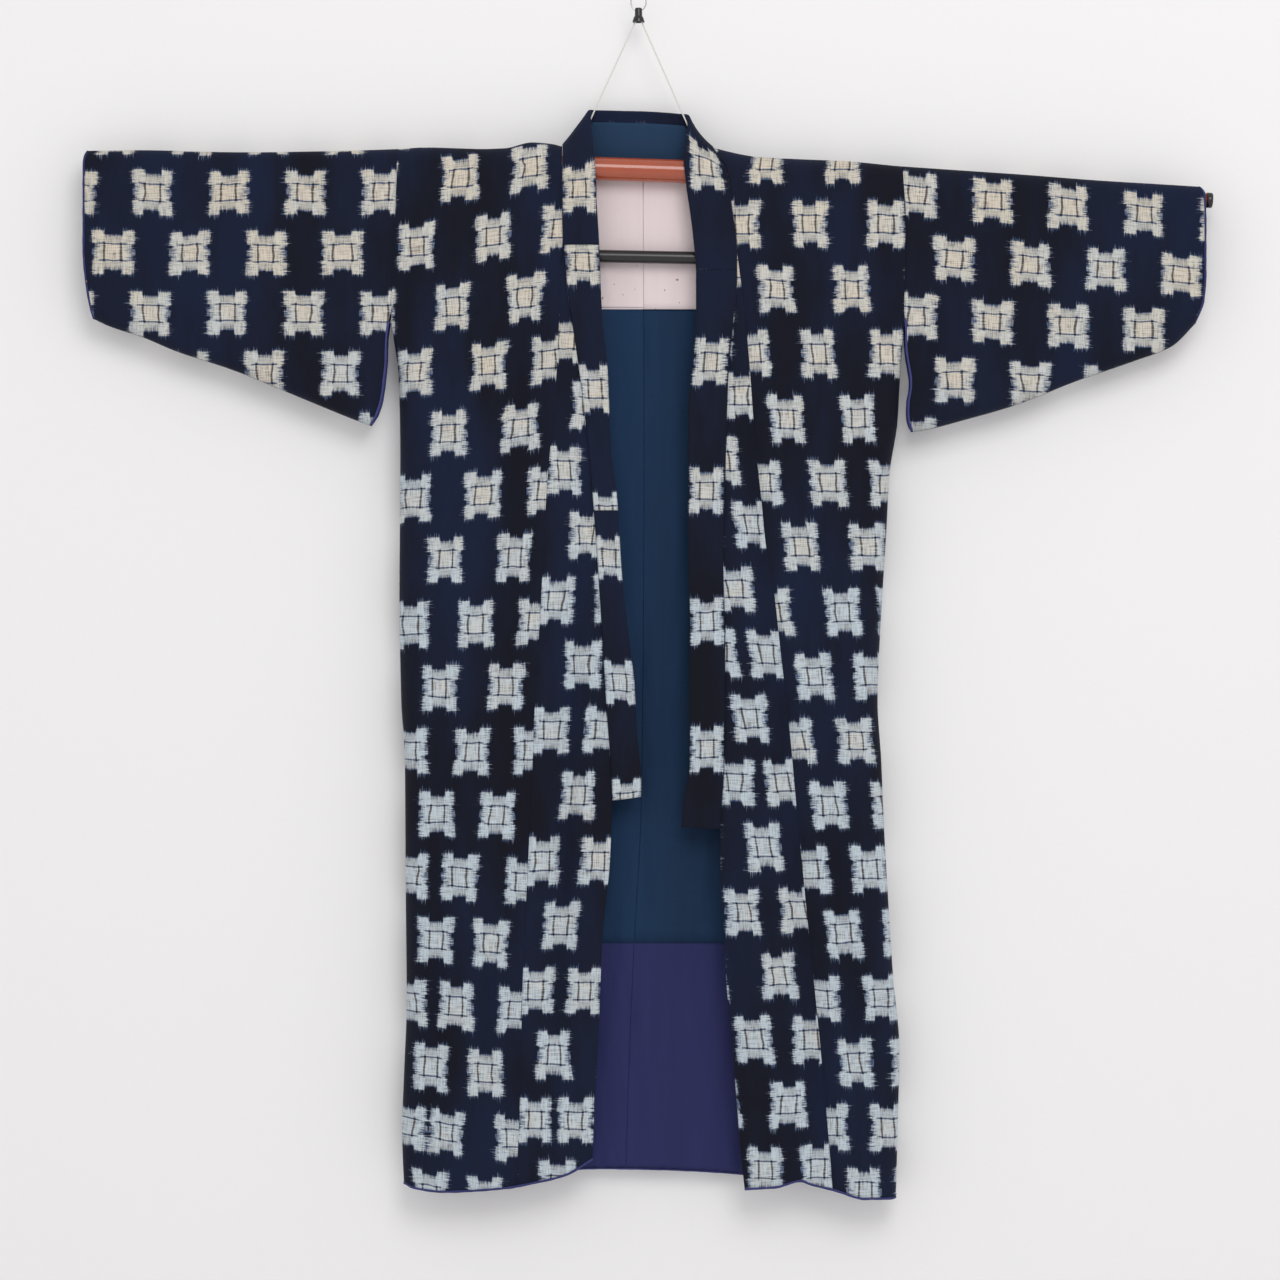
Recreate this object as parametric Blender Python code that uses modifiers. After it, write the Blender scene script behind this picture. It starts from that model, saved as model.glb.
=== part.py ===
"""Long indigo cotton hanten hung on a telescopic kimono hanger.

The tables are in millimetres: x runs across towards the wearer's left, drop is
how far a place lies below the hanging point. The front of the garment looks
along -Y. The origin is the top inside of the hanger's ring.
"""

import math

import bmesh
import bpy
import numpy as np
from mathutils import Vector

MM = 0.001

# Driving sizes, in millimetres
CLOTH_WALL = 2.0
LINING_WALL = 1.0
BAND_WALL = 4.0
SEAM_GAP = 0.3
LINING_GAP = 0.3
LINING_NECK_INSET = 3.5
LINING_SLACK = 0.16
SHOULDER_TURNS = (0.06, 0.2, 0.35, 0.5, 0.65, 0.8, 0.92)
LINING_HANG = 0.5
LINING_INSET = CLOTH_WALL / 2 + LINING_GAP + LINING_WALL / 2
BAND_PROUD = 0.6
SHOULDER_CLEAR = 2.2
NECK_SAG = {-1: 0.5, 1: 3.2}
SIDE_ROUND = 16.0
SIDE_FACE = 0.6
SLEEVE_ROUND = 14.0
PINK_BOTTOM = {-1: 344.5, 1: 347.5}
TEAL_BOTTOM = 1045.0
HEM_LINING_SHORT = 1.2
OKUMI_ROW = {-1: 4, 1: 5}
ARMHOLE_BOTTOM = 362.0
SIDE_SEAM_TOP = 440.0
BAND_JOIN = {-1: 278.0, 1: 306.0}
LOWER_JOIN = 569.0
BAND_END = {-1: (887.0, 883.0), 1: (918.0, 916.0)}

TUBE_RADIUS = 13.0
TUBE_BORE = 9.8
TUBE_HALF = 230.0
ROD_RADIUS = 8.0
BAR_RADIUS = 7.0
BAR_HALF = 180.0
CORD_RADIUS = 0.9
CORD_X = 70.5
CORD_HOLE = 1.6

# x, drop of the hanger's axis
AXIS = [(-600, 184.5), (-230, 186.4), (230, 201.6), (625, 227.2)]
# x, drop of the lower bar's axis
BAR_AXIS = [(-180, 286.0), (180, 293.1)]

# x, half depth and rise of the cloth where it goes over the hanger
WRAP = [
    (-609, 10.0, 10.5),
    (-543, 10.5, 11.5),
    (-444, 10.0, 9.8),
    (-345, 11.5, 11.4),
    (-265, 14.6, 14.2),
    (-232, 16.2, 16.2),
    (-180, 16.2, 16.2),
    (-147, 16.2, 18.0),
    (-116, 16.2, 25.5),
    (-95, 16.2, 24.4),
    (-84, 16.2, 22.2),
    (0, 16.2, 20.0),
    (83, 16.2, 25.4),
    (98, 16.2, 22.6),
    (113, 16.2, 19.8),
    (133, 16.2, 17.4),
    (183, 16.2, 16.6),
    (232, 16.2, 16.2),
    (290, 14.0, 14.4),
    (348, 13.6, 14.2),
    (414, 13.4, 14.0),
    (513, 12.6, 12.9),
    (612, 12.0, 13.3),
    (624, 12.0, 13.3),
]

# distance from the middle, half depth of the hanging cloth in front and behind
FULL_DEPTH = [
    (0, 19.0, 15.0),
    (60, 19.5, 15.0),
    (150, 20.5, 15.2),
    (230, 18.5, 15.0),
    (265, 16.5, 14.6),
    (300, 15.0, 13.6),
    (400, 13.5, 12.6),
    (520, 12.5, 12.0),
    (625, 12.0, 11.6),
]

# x and drop of a fold's top, x and drop of its foot, half width, height
FRONT_FOLDS = [
    (-102, 300, -138, 520, 13, -3.5),
    (-138, 500, -166, 680, 14, -4.0),
    (-199, 370, -216, 520, 14, -2.0),
    (-72, 640, -88, 1150, 12, -7.5),
    (-166, 1060, -168, 1190, 12, -4.0),
    (-212, 850, -223, 1180, 13, -4.5),
    (-101, 560, -124, 1240, 16, 4.5),
    (-187, 900, -194, 1150, 12, 2.0),
    (-240, 420, -242, 900, 16, 2.0),
    (-256, 305, -257, 400, 9, -2.0),
    (114, 440, 150, 790, 12, -5.5),
    (153, 780, 205, 1290, 15, -8.5),
    (82, 900, 108, 1290, 12, -4.0),
    (244, 490, 270, 600, 12, -2.5),
    (192, 660, 248, 1230, 13, -2.5),
    (214, 540, 238, 960, 15, 2.5),
    (106, 660, 132, 1180, 13, 3.5),
    (272, 296, 275, 385, 9, -2.0),
    (-572, 214, -572, 260, 12, -2.2),
    (-543, 246, -524, 330, 12, -3.2),
    (-493, 350, -493, 390, 14, -1.5),
    (-369, 380, -365, 430, 16, -2.0),
    (600, 240, 601, 300, 12, -2.4),
    (469, 385, 466, 430, 14, -2.0),
    (316, 380, 318, 450, 14, -2.4),
]
BACK_FOLDS = [
    (-150, 420, -170, 1200, 36, -1.4),
    (-80, 500, -95, 1250, 36, 1.4),
    (60, 480, 80, 1250, 36, 1.4),
    (150, 420, 175, 1250, 36, -1.5),
    (225, 500, 240, 1250, 34, 1.2),
    (-222, 520, -228, 1250, 34, 1.0),
    (-440, 260, -450, 400, 24, -1.6),
    (450, 280, 470, 420, 24, -1.6),
]

# drop, x for each edge of the right half (-1) and the left half (1)
SIDE_EDGE = {
    -1: [
        (160, -265),
        (188, -265),
        (244, -267),
        (319, -270),
        (357, -271),
        (380, -268),
        (415, -264),
        (511, -262),
        (667, -263),
        (777, -261),
        (843, -257),
        (997, -256),
        (1107, -255),
        (1190, -258),
        (1250, -260),
        (1330, -257),
    ],
    1: [
        (160, 289),
        (197, 290),
        (247, 293),
        (303, 292),
        (363, 291),
        (392, 289),
        (433, 287),
        (470, 285),
        (530, 276),
        (585, 273),
        (667, 268),
        (777, 263),
        (843, 267),
        (915, 270),
        (986, 274),
        (1080, 280),
        (1162, 287),
        (1250, 285),
        (1330, 283),
    ],
}
BAND_SEAM = {
    -1: [
        (165, -84),
        (228, -84),
        (271, -83),
        (326, -78),
        (402, -67),
        (501, -55),
        (597, -47),
        (687, -41),
        (788, -35),
        (854, -30),
        (887, -29),
    ],
    1: [
        (165, 82),
        (174, 84),
        (192, 96),
        (240, 103),
        (282, 108),
        (315, 108),
        (359, 104),
        (431, 98),
        (541, 95),
        (623, 93),
        (713, 95),
        (847, 94),
        (918, 90),
    ],
}
BAND_FREE = {
    -1: [
        (228, -46),
        (277, -43),
        (352, -40),
        (410, -34),
        (506, -30),
        (548, -24),
        (639, -18),
        (713, -10),
        (762, -4),
        (807, -2),
        (863, 3),
        (890, 3),
    ],
    1: [
        (206, 51),
        (262, 59),
        (312, 63),
        (346, 63),
        (415, 58),
        (468, 54),
        (607, 54),
        (687, 56),
        (767, 56),
        (847, 56),
        (882, 50),
        (916, 47),
    ],
}
OKUMI_SEAM = {
    -1: [
        (271, -83),
        (326, -86),
        (359, -87),
        (403, -89),
        (447, -92),
        (554, -101),
        (674, -107),
        (794, -114),
        (854, -116),
        (938, -120),
        (1096, -127),
        (1222, -130),
        (1330, -135),
    ],
    1: [
        (282, 108),
        (332, 114),
        (378, 119),
        (425, 123),
        (491, 128),
        (557, 135),
        (607, 140),
        (661, 149),
        (713, 155),
        (820, 167),
        (875, 172),
        (1001, 184),
        (1159, 200),
        (1285, 211),
        (1330, 214),
    ],
}
FRONT_EDGE = {
    -1: [(948, -31), (1046, -40), (1127, -43), (1222, -48), (1300, -51)],
    1: [(970, 90), (1032, 94), (1080, 96), (1144, 102), (1206, 107), (1269, 112), (1330, 118)],
}
# x, drop of the front hem
FRONT_HEM = {
    -1: [
        (-258, 1306),
        (-246, 1311),
        (-213, 1315),
        (-147, 1311),
        (-114, 1305),
        (-81, 1297),
        (-50, 1279),
    ],
    1: [
        (117, 1312),
        (150, 1310),
        (178, 1303),
        (189, 1307),
        (216, 1314),
        (249, 1323),
        (284, 1323),
    ],
}
# x, drop of the back hem
BACK_HEM = [
    (-257, 1308),
    (-152, 1302),
    (-42, 1293),
    (18, 1294),
    (84, 1297),
    (178, 1306),
    (283, 1320),
]
# drop, x of the middle seam
MIDDLE = [(190, 5), (502, 6), (887, 3), (1045, -5), (1159, -10), (1320, -15)]
# drop, how far the sleeve's inner edge stands off the body's side edge
SLEEVE_STAND = {
    -1: [(160, 0), (345, 0), (357, 2), (377, 8), (420, 15), (445, 19), (463, 25), (476, 33)],
    1: [(160, 0), (350, 0), (363, 2), (392, 5), (433, 12), (452, 10), (467, 11), (484, 18)],
}
CUFF = {
    -1: [(165, -603), (189, -609), (282, -609), (310, -607), (337, -603), (360, -598)],
    1: [(208, 613), (222, 621), (255, 622), (310, 622), (337, 620), (363, 611)],
}
# x, drop of the sleeve's lower edge
SLEEVE_LOW = {
    -1: [
        (-603, 355),
        (-582, 365),
        (-543, 378),
        (-510, 392),
        (-444, 414),
        (-378, 441),
        (-312, 468),
        (-290, 476),
    ],
    1: [
        (296, 482),
        (321, 478),
        (348, 471),
        (414, 452),
        (480, 426),
        (546, 403),
        (585, 388),
        (615, 359),
    ],
}
# Where the band's free edge goes round the neck: share of the way from the middle of the
# back to the side, free x, free y, free drop. A share above 1 runs over the shoulder.
NECK_BACK = {
    -1: [
        (0.0, 0.0, 13.4, 127.8),
        (0.33, -20.0, 13.3, 127.4),
        (0.66, -36.0, 12.6, 127.0),
        (0.9, -46.0, 10.8, 127.0),
    ],
    1: [
        (0.0, 0.0, 13.4, 127.8),
        (0.33, 20.0, 13.3, 128.8),
        (0.66, 36.0, 12.6, 130.0),
        (0.9, 46.0, 10.8, 131.0),
    ],
}
# Over the shoulder: turn of the seam (0 behind, 1 in front), free x, free y, free drop
NECK_OVER = {
    -1: [
        (0.06, -49.0, 9.4, 127.0),
        (0.2, -51.2, 7.2, 127.0),
        (0.35, -52.4, 4.0, 127.2),
        (0.5, -52.8, 0.0, 128.4),
        (0.65, -52.4, -4.8, 135.5),
        (0.8, -51.2, -8.4, 147.0),
        (0.92, -49.6, -13.0, 163.0),
        (1.0, -48.4, -16.2, 178.0),
    ],
    1: [
        (0.06, 49.0, 9.4, 131.3),
        (0.2, 51.2, 7.2, 131.6),
        (0.35, 53.0, 4.2, 132.2),
        (0.5, 53.6, 0.0, 133.8),
        (0.65, 54.0, -5.2, 142.0),
        (0.8, 52.2, -9.6, 154.0),
        (0.92, 50.6, -13.2, 170.0),
        (1.0, 49.2, -16.2, 184.0),
    ],
}

INDIGO = (0.020, 0.024, 0.060, 1)
BAND_INDIGO = (0.022, 0.028, 0.062, 1)
PINK = (0.62, 0.50, 0.50, 1)
TEAL = (0.022, 0.085, 0.16, 1)
VIOLET = (0.045, 0.045, 0.16, 1)
ORANGE_BROWN = (0.45, 0.12, 0.045, 1)
RED_BROWN = (0.26, 0.045, 0.03, 1)
BLACK = (0.012, 0.012, 0.013, 1)
CORD_WHITE = (0.78, 0.77, 0.73, 1)
STEEL = (0.6, 0.6, 0.62, 1)

SEAM_NAME = {-1: "right", 1: "left"}


def smooth(table, at, column=1):
    """Value of a table's column at the given keys, along a smooth line through its rows."""
    rows = np.asarray(table, dtype=float)
    keys = rows[:, 0]
    values = rows[:, column]
    step = np.diff(keys)
    slope = np.diff(values) / step
    tangent = np.zeros_like(values)
    tangent[0] = slope[0]
    tangent[-1] = slope[-1]
    before = slope[:-1]
    after = slope[1:]
    same_way = before * after > 0
    total = np.where(same_way, before + after, 1.0)
    tangent[1:-1] = np.where(same_way, 2 * before * after / total, 0.0)
    where = np.clip(np.asarray(at, dtype=float), keys[0], keys[-1])
    i = np.clip(np.searchsorted(keys, where) - 1, 0, len(step) - 1)
    u = (where - keys[i]) / step[i]
    flat = 2 * u**3 - 3 * u**2 + 1
    rise = u**3 - 2 * u**2 + u
    fall = u**3 - u**2
    ends = flat * values[i] + (1 - flat) * values[i + 1]
    return ends + step[i] * (rise * tangent[i] + fall * tangent[i + 1])


def ease(low, high, at):
    """0 below low, 1 above high and a smooth step between them."""
    u = np.clip((np.asarray(at, dtype=float) - low) / (high - low), 0, 1)
    return u * u * (3 - 2 * u)


def axis_drop(x):
    """Drop of the hanger's axis."""
    rows = np.asarray(AXIS, dtype=float)
    return np.interp(x, rows[:, 0], rows[:, 1])


def folds(table, x, drop):
    """Sum of the folds of a table at a place on the cloth."""
    total = np.zeros(np.broadcast(x, drop).shape)
    for x_top, top, x_foot, foot, width, height in table:
        middle = x_top + (drop - top) * (x_foot - x_top) / (foot - top)
        length = foot - top
        along = ease(top - 0.25 * length, top + 0.25 * length, drop)
        along = along * (1 - ease(foot - 0.2 * length, foot + 0.2 * length, drop))
        total = total + height * along * np.exp(-(((x - middle) / width) ** 2))
    return total


def hanging_depth(x, drop, column, table):
    """Distance of the hanging cloth's middle surface from the hanger's plane."""
    below = drop - axis_drop(x)
    top = smooth(WRAP, x, 1)
    full = smooth(FULL_DEPTH, np.abs(x), column)
    grown = top + (full - top) * ease(0, 170, below)
    return grown + folds(table, x, drop) * ease(8, 70, below)


def front_depth(x, drop):
    """Depth of the front cloth ahead of the hanger's plane."""
    return hanging_depth(x, drop, 1, FRONT_FOLDS)


def back_depth(x, drop):
    """Depth of the back cloth behind the hanger's plane."""
    return hanging_depth(x, drop, 2, BACK_FOLDS)


def closing(distance, drop):
    """Share of the depth that is left near the body's closed side edge."""
    shut = ease(ARMHOLE_BOTTOM, SIDE_SEAM_TOP, drop)
    near = np.clip(distance / SIDE_ROUND, 0, 1)
    return 1 - shut + shut * np.sqrt(1 - (1 - near) ** 2)


def side_line(half, drop):
    """x where the body's middle surface ends, half a wall inside the closed side edge."""
    closed = ease(ARMHOLE_BOTTOM, SIDE_SEAM_TOP, drop)
    return smooth(SIDE_EDGE[half], drop) - half * closed * CLOTH_WALL / 2


def okumi_inner(half, drop):
    """x of the okumi's inner edge: the band's seam, then the free front edge."""
    return smooth(BAND_SEAM[half] + FRONT_EDGE[half], drop)


def front_inner(half, drop, on_okumi):
    """x of the body front's inner edge: the band's seam, then the okumi's seam."""
    if on_okumi:
        return smooth(OKUMI_SEAM[half], drop)
    return smooth(BAND_SEAM[half], drop)


def over(x, turn, inset):
    """y and drop of the cloth over the hanger, turn 0 behind and 1 in front."""
    angle = np.pi * turn
    depth = smooth(WRAP, x, 1) - inset
    rise = smooth(WRAP, x, 2) - inset
    if inset > 0:
        rise = rise - LINING_SLACK * np.maximum(rise - 14.4, 0)
    return depth * np.cos(angle), axis_drop(x) - rise * np.sin(angle)


def points(x, y, drop):
    """Rows and columns of places in metres."""
    return np.stack([x, y, -drop], axis=-1) * MM


def spaced(low, high, count):
    """Evenly spaced shares."""
    return np.linspace(low, high, count)


def side_shares(width, closed):
    """Shares across a panel, close together where the side edge turns in."""
    inner = [0.0, 0.12, 0.25, 0.38, 0.51, 0.64, 0.77, 0.87]
    if not closed:
        return np.array(inner + [1.0])
    near = [1 - 16.0 / width, 1 - 9.5 / width, 1 - 4.2 / width, 1 - 1.1 / width, 1.0]
    return np.array([u for u in inner if u < near[0] - 0.03] + near)


BACK_SHARES = [1, 0.94, 0.87, 0.8, 0.73, 0.66, 0.58, 0.5, 0.42, 0.34, 0.28, 0.225, 0.18, 0.14]
BACK_SHARES = BACK_SHARES + [0.105, 0.075]
# share of the way along the back neck, drop of the row's far end below the hanger
NECK_FAN = [(0.0, 62.0), (0.3, 46.0), (0.62, 31.0), (0.88, 16.0), (1.0, 5.0)]
FRONT_SHARES = [0, 0.02, 0.045, 0.07, 0.095, 0.107, 0.14, 0.18, 0.22, 0.26, 0.3, 0.35, 0.4, 0.45]
FRONT_SHARES = FRONT_SHARES + [0.5, 0.55, 0.6, 0.65, 0.7, 0.75, 0.8, 0.85, 0.9, 0.945, 0.98, 1]


def hanging_rows(half, shares, across, inner, foot, depth, inset, sign):
    """Rows of a hanging panel from the hanger's height down to its foot."""
    rows = []
    for number, share in enumerate(shares):
        drop = np.full(len(across), 194 + share * 1115.0)
        for _ in range(4):
            start = inner(drop, number)
            end = side_line(half, drop)
            x = start + across * (end - start)
            top = axis_drop(x)
            drop = top + share * (foot(x) - top)
        shape = depth(x, drop) - inset
        if inset > 0:
            shape = shape - LINING_HANG * ease(0, 60, drop - axis_drop(x))
        shape = SIDE_FACE + (shape - SIDE_FACE) * closing(np.abs(end - x), drop)
        rows.append(points(x, sign * shape, drop))
    return rows


def panel(half, inset, across):
    """One length of cloth up the back, over the hanger and down the front."""

    def middle(drop, number):
        return smooth(MIDDLE, drop) + half * SEAM_GAP / 2

    def inner(drop, number):
        return front_inner(half, drop, number >= OKUMI_ROW[half]) + half * SEAM_GAP / 2

    def back_foot(x):
        return smooth(BACK_HEM, x)

    def front_foot(x):
        return smooth(FRONT_HEM[half], x)

    back_across, front_across = across
    rows = hanging_rows(
        half, BACK_SHARES, back_across, middle, back_foot, back_depth, inset, 1
    )
    side = side_line(half, 188.0)
    corner = half * (abs(smooth(BAND_SEAM[half], 170.0)) + SEAM_GAP / 2)
    start = middle(190.0, 0)
    for out, fall in NECK_FAN:
        begin = start + out * (corner - start)
        x = begin + back_across * (side - begin)
        drop = axis_drop(x) + back_across * fall
        rows.append(points(x, back_depth(x, drop) - inset, drop))
    shoulder = corner
    if inset > 0:
        shoulder = corner + half * LINING_NECK_INSET
        rows[-1][0, 0] = shoulder * MM
    for turn in SHOULDER_TURNS:
        begin = shoulder
        if turn > 0.5:
            _, height = over(np.float64(corner), turn, 0.0)
            begin = float(inner(height, 0)) + shoulder - corner
        blend = max(0.0, (turn - 0.5) * 2)
        columns = back_across + (front_across - back_across) * blend
        x = begin + columns * (side - begin)
        y, drop = over(x, np.full_like(x, turn), inset)
        rows.append(points(x, y, drop))
    rows += hanging_rows(
        half, FRONT_SHARES, front_across, inner, front_foot, front_depth, inset, -1
    )
    return np.array(rows)


def body_grid(half, inset):
    """The rows of the body length, moved in by the inset."""
    back_across = side_shares(266.0, True)
    front_across = side_shares(140.0, True)
    count = min(len(back_across), len(front_across))
    back_across = np.concatenate([spaced(0, back_across[-6], count - 5), back_across[-5:]])
    front_across = np.concatenate([spaced(0, front_across[-6], count - 5), front_across[-5:]])
    back_across = np.insert(back_across, 1, 0.045)
    front_across = np.insert(front_across, 1, 0.012)
    return panel(half, inset, (back_across, front_across))


def body_points(half):
    """The body length: back, shoulder and front."""
    return body_grid(half, 0.0)


def lining_grid(half):
    """The body's own points moved in by the lining's distance, without the side turn."""
    count = len(side_shares(266.0, True)) - 3
    return body_grid(half, LINING_INSET)[:, :count]


def level_row(rows, drops):
    """Places where each column of the rows crosses its drop."""
    out = []
    for column, drop in enumerate(drops):
        line = rows[:, column]
        order = np.argsort(-line[:, 2])
        keys = -line[order, 2] / MM
        places = [np.interp(drop, keys, line[order, k]) for k in range(3)]
        out.append(places)
    return np.array(out)


def lining_points(half, top, bottom):
    """A stretch of the back lining between two levels, on the body's rows."""
    rows = lining_grid(half)[: len(BACK_SHARES)][::-1]
    middle = -rows[:, :, 2].mean(axis=1) / MM
    foot = bottom(rows[-1, :, 0] / MM)
    between = (middle > top + 12) & (middle < foot.mean() - 12)
    first = level_row(rows, np.full(rows.shape[1], top))
    last = level_row(rows, foot)
    return np.concatenate([first[None], rows[between], last[None]])


def yoke_points(half):
    """The pink upper lining, over the hanger to just below it in front."""
    grid = lining_grid(half)
    back = grid[: len(BACK_SHARES)]
    middle = -back[:, :, 2].mean(axis=1) / MM
    first = level_row(back[::-1], np.full(grid.shape[1], PINK_BOTTOM[half]))
    kept = back[middle < PINK_BOTTOM[half] - 12]
    rest = grid[len(BACK_SHARES) : -len(FRONT_SHARES) + 3]
    return np.concatenate([first[None], kept, rest])


def okumi_points(half):
    """The narrow front gore, from its tip down, on the body front's rows."""
    outer = body_grid(half, 0.0)[-len(FRONT_SHARES) :, 0] / MM
    outer = outer[OKUMI_ROW[half] :]
    tip = -outer[0, 2]
    hem = -outer[-1, 2]
    foot_start = outer[-1, 0]
    foot_end = float(okumi_inner(half, hem))
    across = np.array([0, 0.02, 0.2, 0.4, 0.6, 0.8, 1])
    rows = []
    for x_seam, _, height in outer:
        start = x_seam - half * SEAM_GAP
        share = (-height - tip) / (hem - tip)
        drop = np.full(len(across), -height)
        fall = smooth(FRONT_HEM[half], foot_start + across * (foot_end - foot_start)) - hem
        for _ in range(3):
            end = okumi_inner(half, drop) + half * SEAM_GAP / 2
            x = start + across * (end - start)
            drop = -height + share * (fall - fall[0])
        rows.append(points(x, -front_depth(x, drop), drop))
    return np.array(rows)


def band_edge(half):
    """Drop and x of the cloth's edge that the band is sewn to, down the front."""
    body = body_grid(half, 0.0)[-len(FRONT_SHARES) :, 0] / MM
    okumi = okumi_points(half)[:, -1] / MM
    line = np.concatenate([body[: OKUMI_ROW[half]], okumi])
    return -line[:, 2], line[:, 0]


def sleeve_points(half):
    """Rings round the sleeve from the armhole out to the cuff."""
    stations = [0, 0.04, 0.12, 0.22, 0.34, 0.47, 0.6, 0.72, 0.84, 0.93, 1]
    down = [0, 0.14, 0.28, 0.42, 0.56, 0.7, 0.82, 0.9, 0.95, 0.985, 0.997]
    turns = [0.14, 0.28, 0.42, 0.5, 0.58, 0.72, 0.86]
    rings = []
    for out in stations:
        columns = []
        order = [("low", 1.0, 1)] + [("back", h, 1) for h in reversed(down)]
        order = order + [("over", t, 0) for t in turns] + [("front", h, -1) for h in down]
        for place, share, sign in order:
            drop = np.float64(250.0)
            for _ in range(8):
                inner = smooth(SIDE_EDGE[half], drop)
                inner = inner + half * (SEAM_GAP + smooth(SLEEVE_STAND[half], drop))
                x = inner + out * (smooth(CUFF[half], drop) - inner)
                low = smooth(SLEEVE_LOW[half], x)
                if place == "over":
                    y, drop = over(x, share, 0.0)
                else:
                    drop = axis_drop(x) + share * (low - axis_drop(x))
            if place in ("back", "front"):
                depth = front_depth(x, drop) if sign < 0 else back_depth(x, drop)
                near = np.clip((low - drop) / SLEEVE_ROUND, 0, 1)
                y = sign * -1 * -depth * np.sqrt(1 - (1 - near) ** 2)
            if place == "low":
                y = 0.0
            columns.append((float(x), float(y), -float(drop)))
        rings.append(columns)
    return np.array(rings) * MM


def band_row(seam, free, sag=0.0):
    """Places across the band from its seam to its free edge, sagging towards the neck."""
    seam = np.array(seam, dtype=float)
    free = np.array(free, dtype=float)
    across = free - seam
    inward = np.array((-across[2], 0.0, across[0])) / np.linalg.norm(across)
    if inward[2] > 0:
        inward = -inward
    return [seam + w * across + 4 * w * (1 - w) * sag * inward for w in (0, 0.25, 0.5, 0.75, 1)]


def band_front_rows(half, top, foot, end=None):
    """Rows of the band where it lies on the front, level with the rows it is sewn to."""
    levels, edge = band_edge(half)
    inside = [d for d in levels if top + 9 < d < foot - 9]
    rows = []
    for drop in [top] + inside + [foot]:
        seam_drop, free_drop = drop, drop
        if end is not None and drop == foot:
            seam_drop, free_drop = end
        inner = float(np.interp(seam_drop, levels, edge)) - half * SEAM_GAP
        outer = float(smooth(BAND_FREE[half], free_drop))
        row = []
        for w in (0, 0.25, 0.5, 0.75, 1):
            x = inner + w * (outer - inner)
            place = seam_drop + w * (free_drop - seam_drop)
            y = -float(front_depth(x, place)) - BAND_PROUD
            row.append((x, y, -place))
        rows.append(row)
    return rows


def neck_rows(half):
    """Rows of the band from the middle of the back round to the front."""
    rows = []
    corner = half * (abs(float(smooth(BAND_SEAM[half], 170.0))) - SEAM_GAP / 2)
    start = float(smooth(MIDDLE, 190.0))
    for out, x, y, drop in NECK_BACK[half]:
        seam_x = start + out * (corner - start)
        depth, height = over(np.float64(seam_x), 0.0, 0.0)
        free_x = start * (1 - out) + x
        rows.append(band_row((seam_x, depth, -height + SEAM_GAP), (free_x, y, -drop)))
    for turn, x, y, drop in NECK_OVER[half]:
        depth, height = over(np.float64(corner), turn, 0.0)
        seam_x = corner
        if turn > 0.5:
            seam_x = float(smooth(BAND_SEAM[half], height)) - half * SEAM_GAP / 2
            depth, height = over(np.float64(seam_x), turn, 0.0)
        seam = np.array((seam_x, depth - BAND_PROUD * turn, -height))
        free = np.array((x, y, -drop))
        clear = SHOULDER_CLEAR * min(1.0, 2.2 * math.sin(math.pi * turn))
        seam = seam + clear * (free - seam) / np.linalg.norm(free - seam)
        rows.append(band_row(seam, free, NECK_SAG[half] * math.sin(math.pi * turn) ** 2))
    return rows


def neck_points():
    """The band round the neck between its two joins."""
    right = neck_rows(-1)
    left = neck_rows(1)
    right_front = band_front_rows(-1, 213.0, BAND_JOIN[-1] - SEAM_GAP / 2)
    left_front = band_front_rows(1, 217.0, BAND_JOIN[1] - SEAM_GAP / 2)
    rows = list(reversed(right_front)) + list(reversed(right[1:])) + [right[0]]
    rows = rows + left[1:] + left_front
    return np.array(rows) * MM


def neck_lining_points():
    """The teal lining on the inner face of the band behind the neck."""
    right = np.array(neck_rows(-1)[:4])
    left = np.array(neck_rows(1)[:4])
    rows = np.concatenate([right[:0:-1], left])
    low, high = 0.13, 0.78
    seam = rows[:, 0]
    free = rows[:, -1]
    out = []
    for w in spaced(low, high, 5):
        out.append(seam + w * (free - seam))
    grid = np.stack(out, axis=1)
    along = np.gradient(grid, axis=0)
    upward = np.gradient(grid, axis=1)
    normal = np.cross(along, upward)
    normal = normal / np.linalg.norm(normal, axis=-1, keepdims=True)
    facing = np.where(normal[..., 1:2] > 0, -1.0, 1.0)
    inset = BAND_WALL / 2 + SEAM_GAP + LINING_WALL / 2
    return (grid + normal * facing * inset) * MM


def material(name, colour, roughness, metallic):
    """A plain surface colour of its own for one piece."""
    made = bpy.data.materials.new(name)
    made.use_nodes = True
    shader = made.node_tree.nodes["Principled BSDF"]
    shader.inputs["Base Color"].default_value = colour
    shader.inputs["Roughness"].default_value = roughness
    shader.inputs["Metallic"].default_value = metallic
    return made


def add_object(name, data, colour, roughness=0.85, metallic=0.0, collection="Hanten on a hanger"):
    """Link an object with its own material into a collection."""
    made = bpy.data.objects.new(name, data)
    home = bpy.data.collections.get(collection)
    if home is None:
        home = bpy.data.collections.new(collection)
        bpy.context.scene.collection.children.link(home)
    home.objects.link(made)
    data.materials.append(material(name + "_surface", colour, roughness, metallic))
    return made


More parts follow.
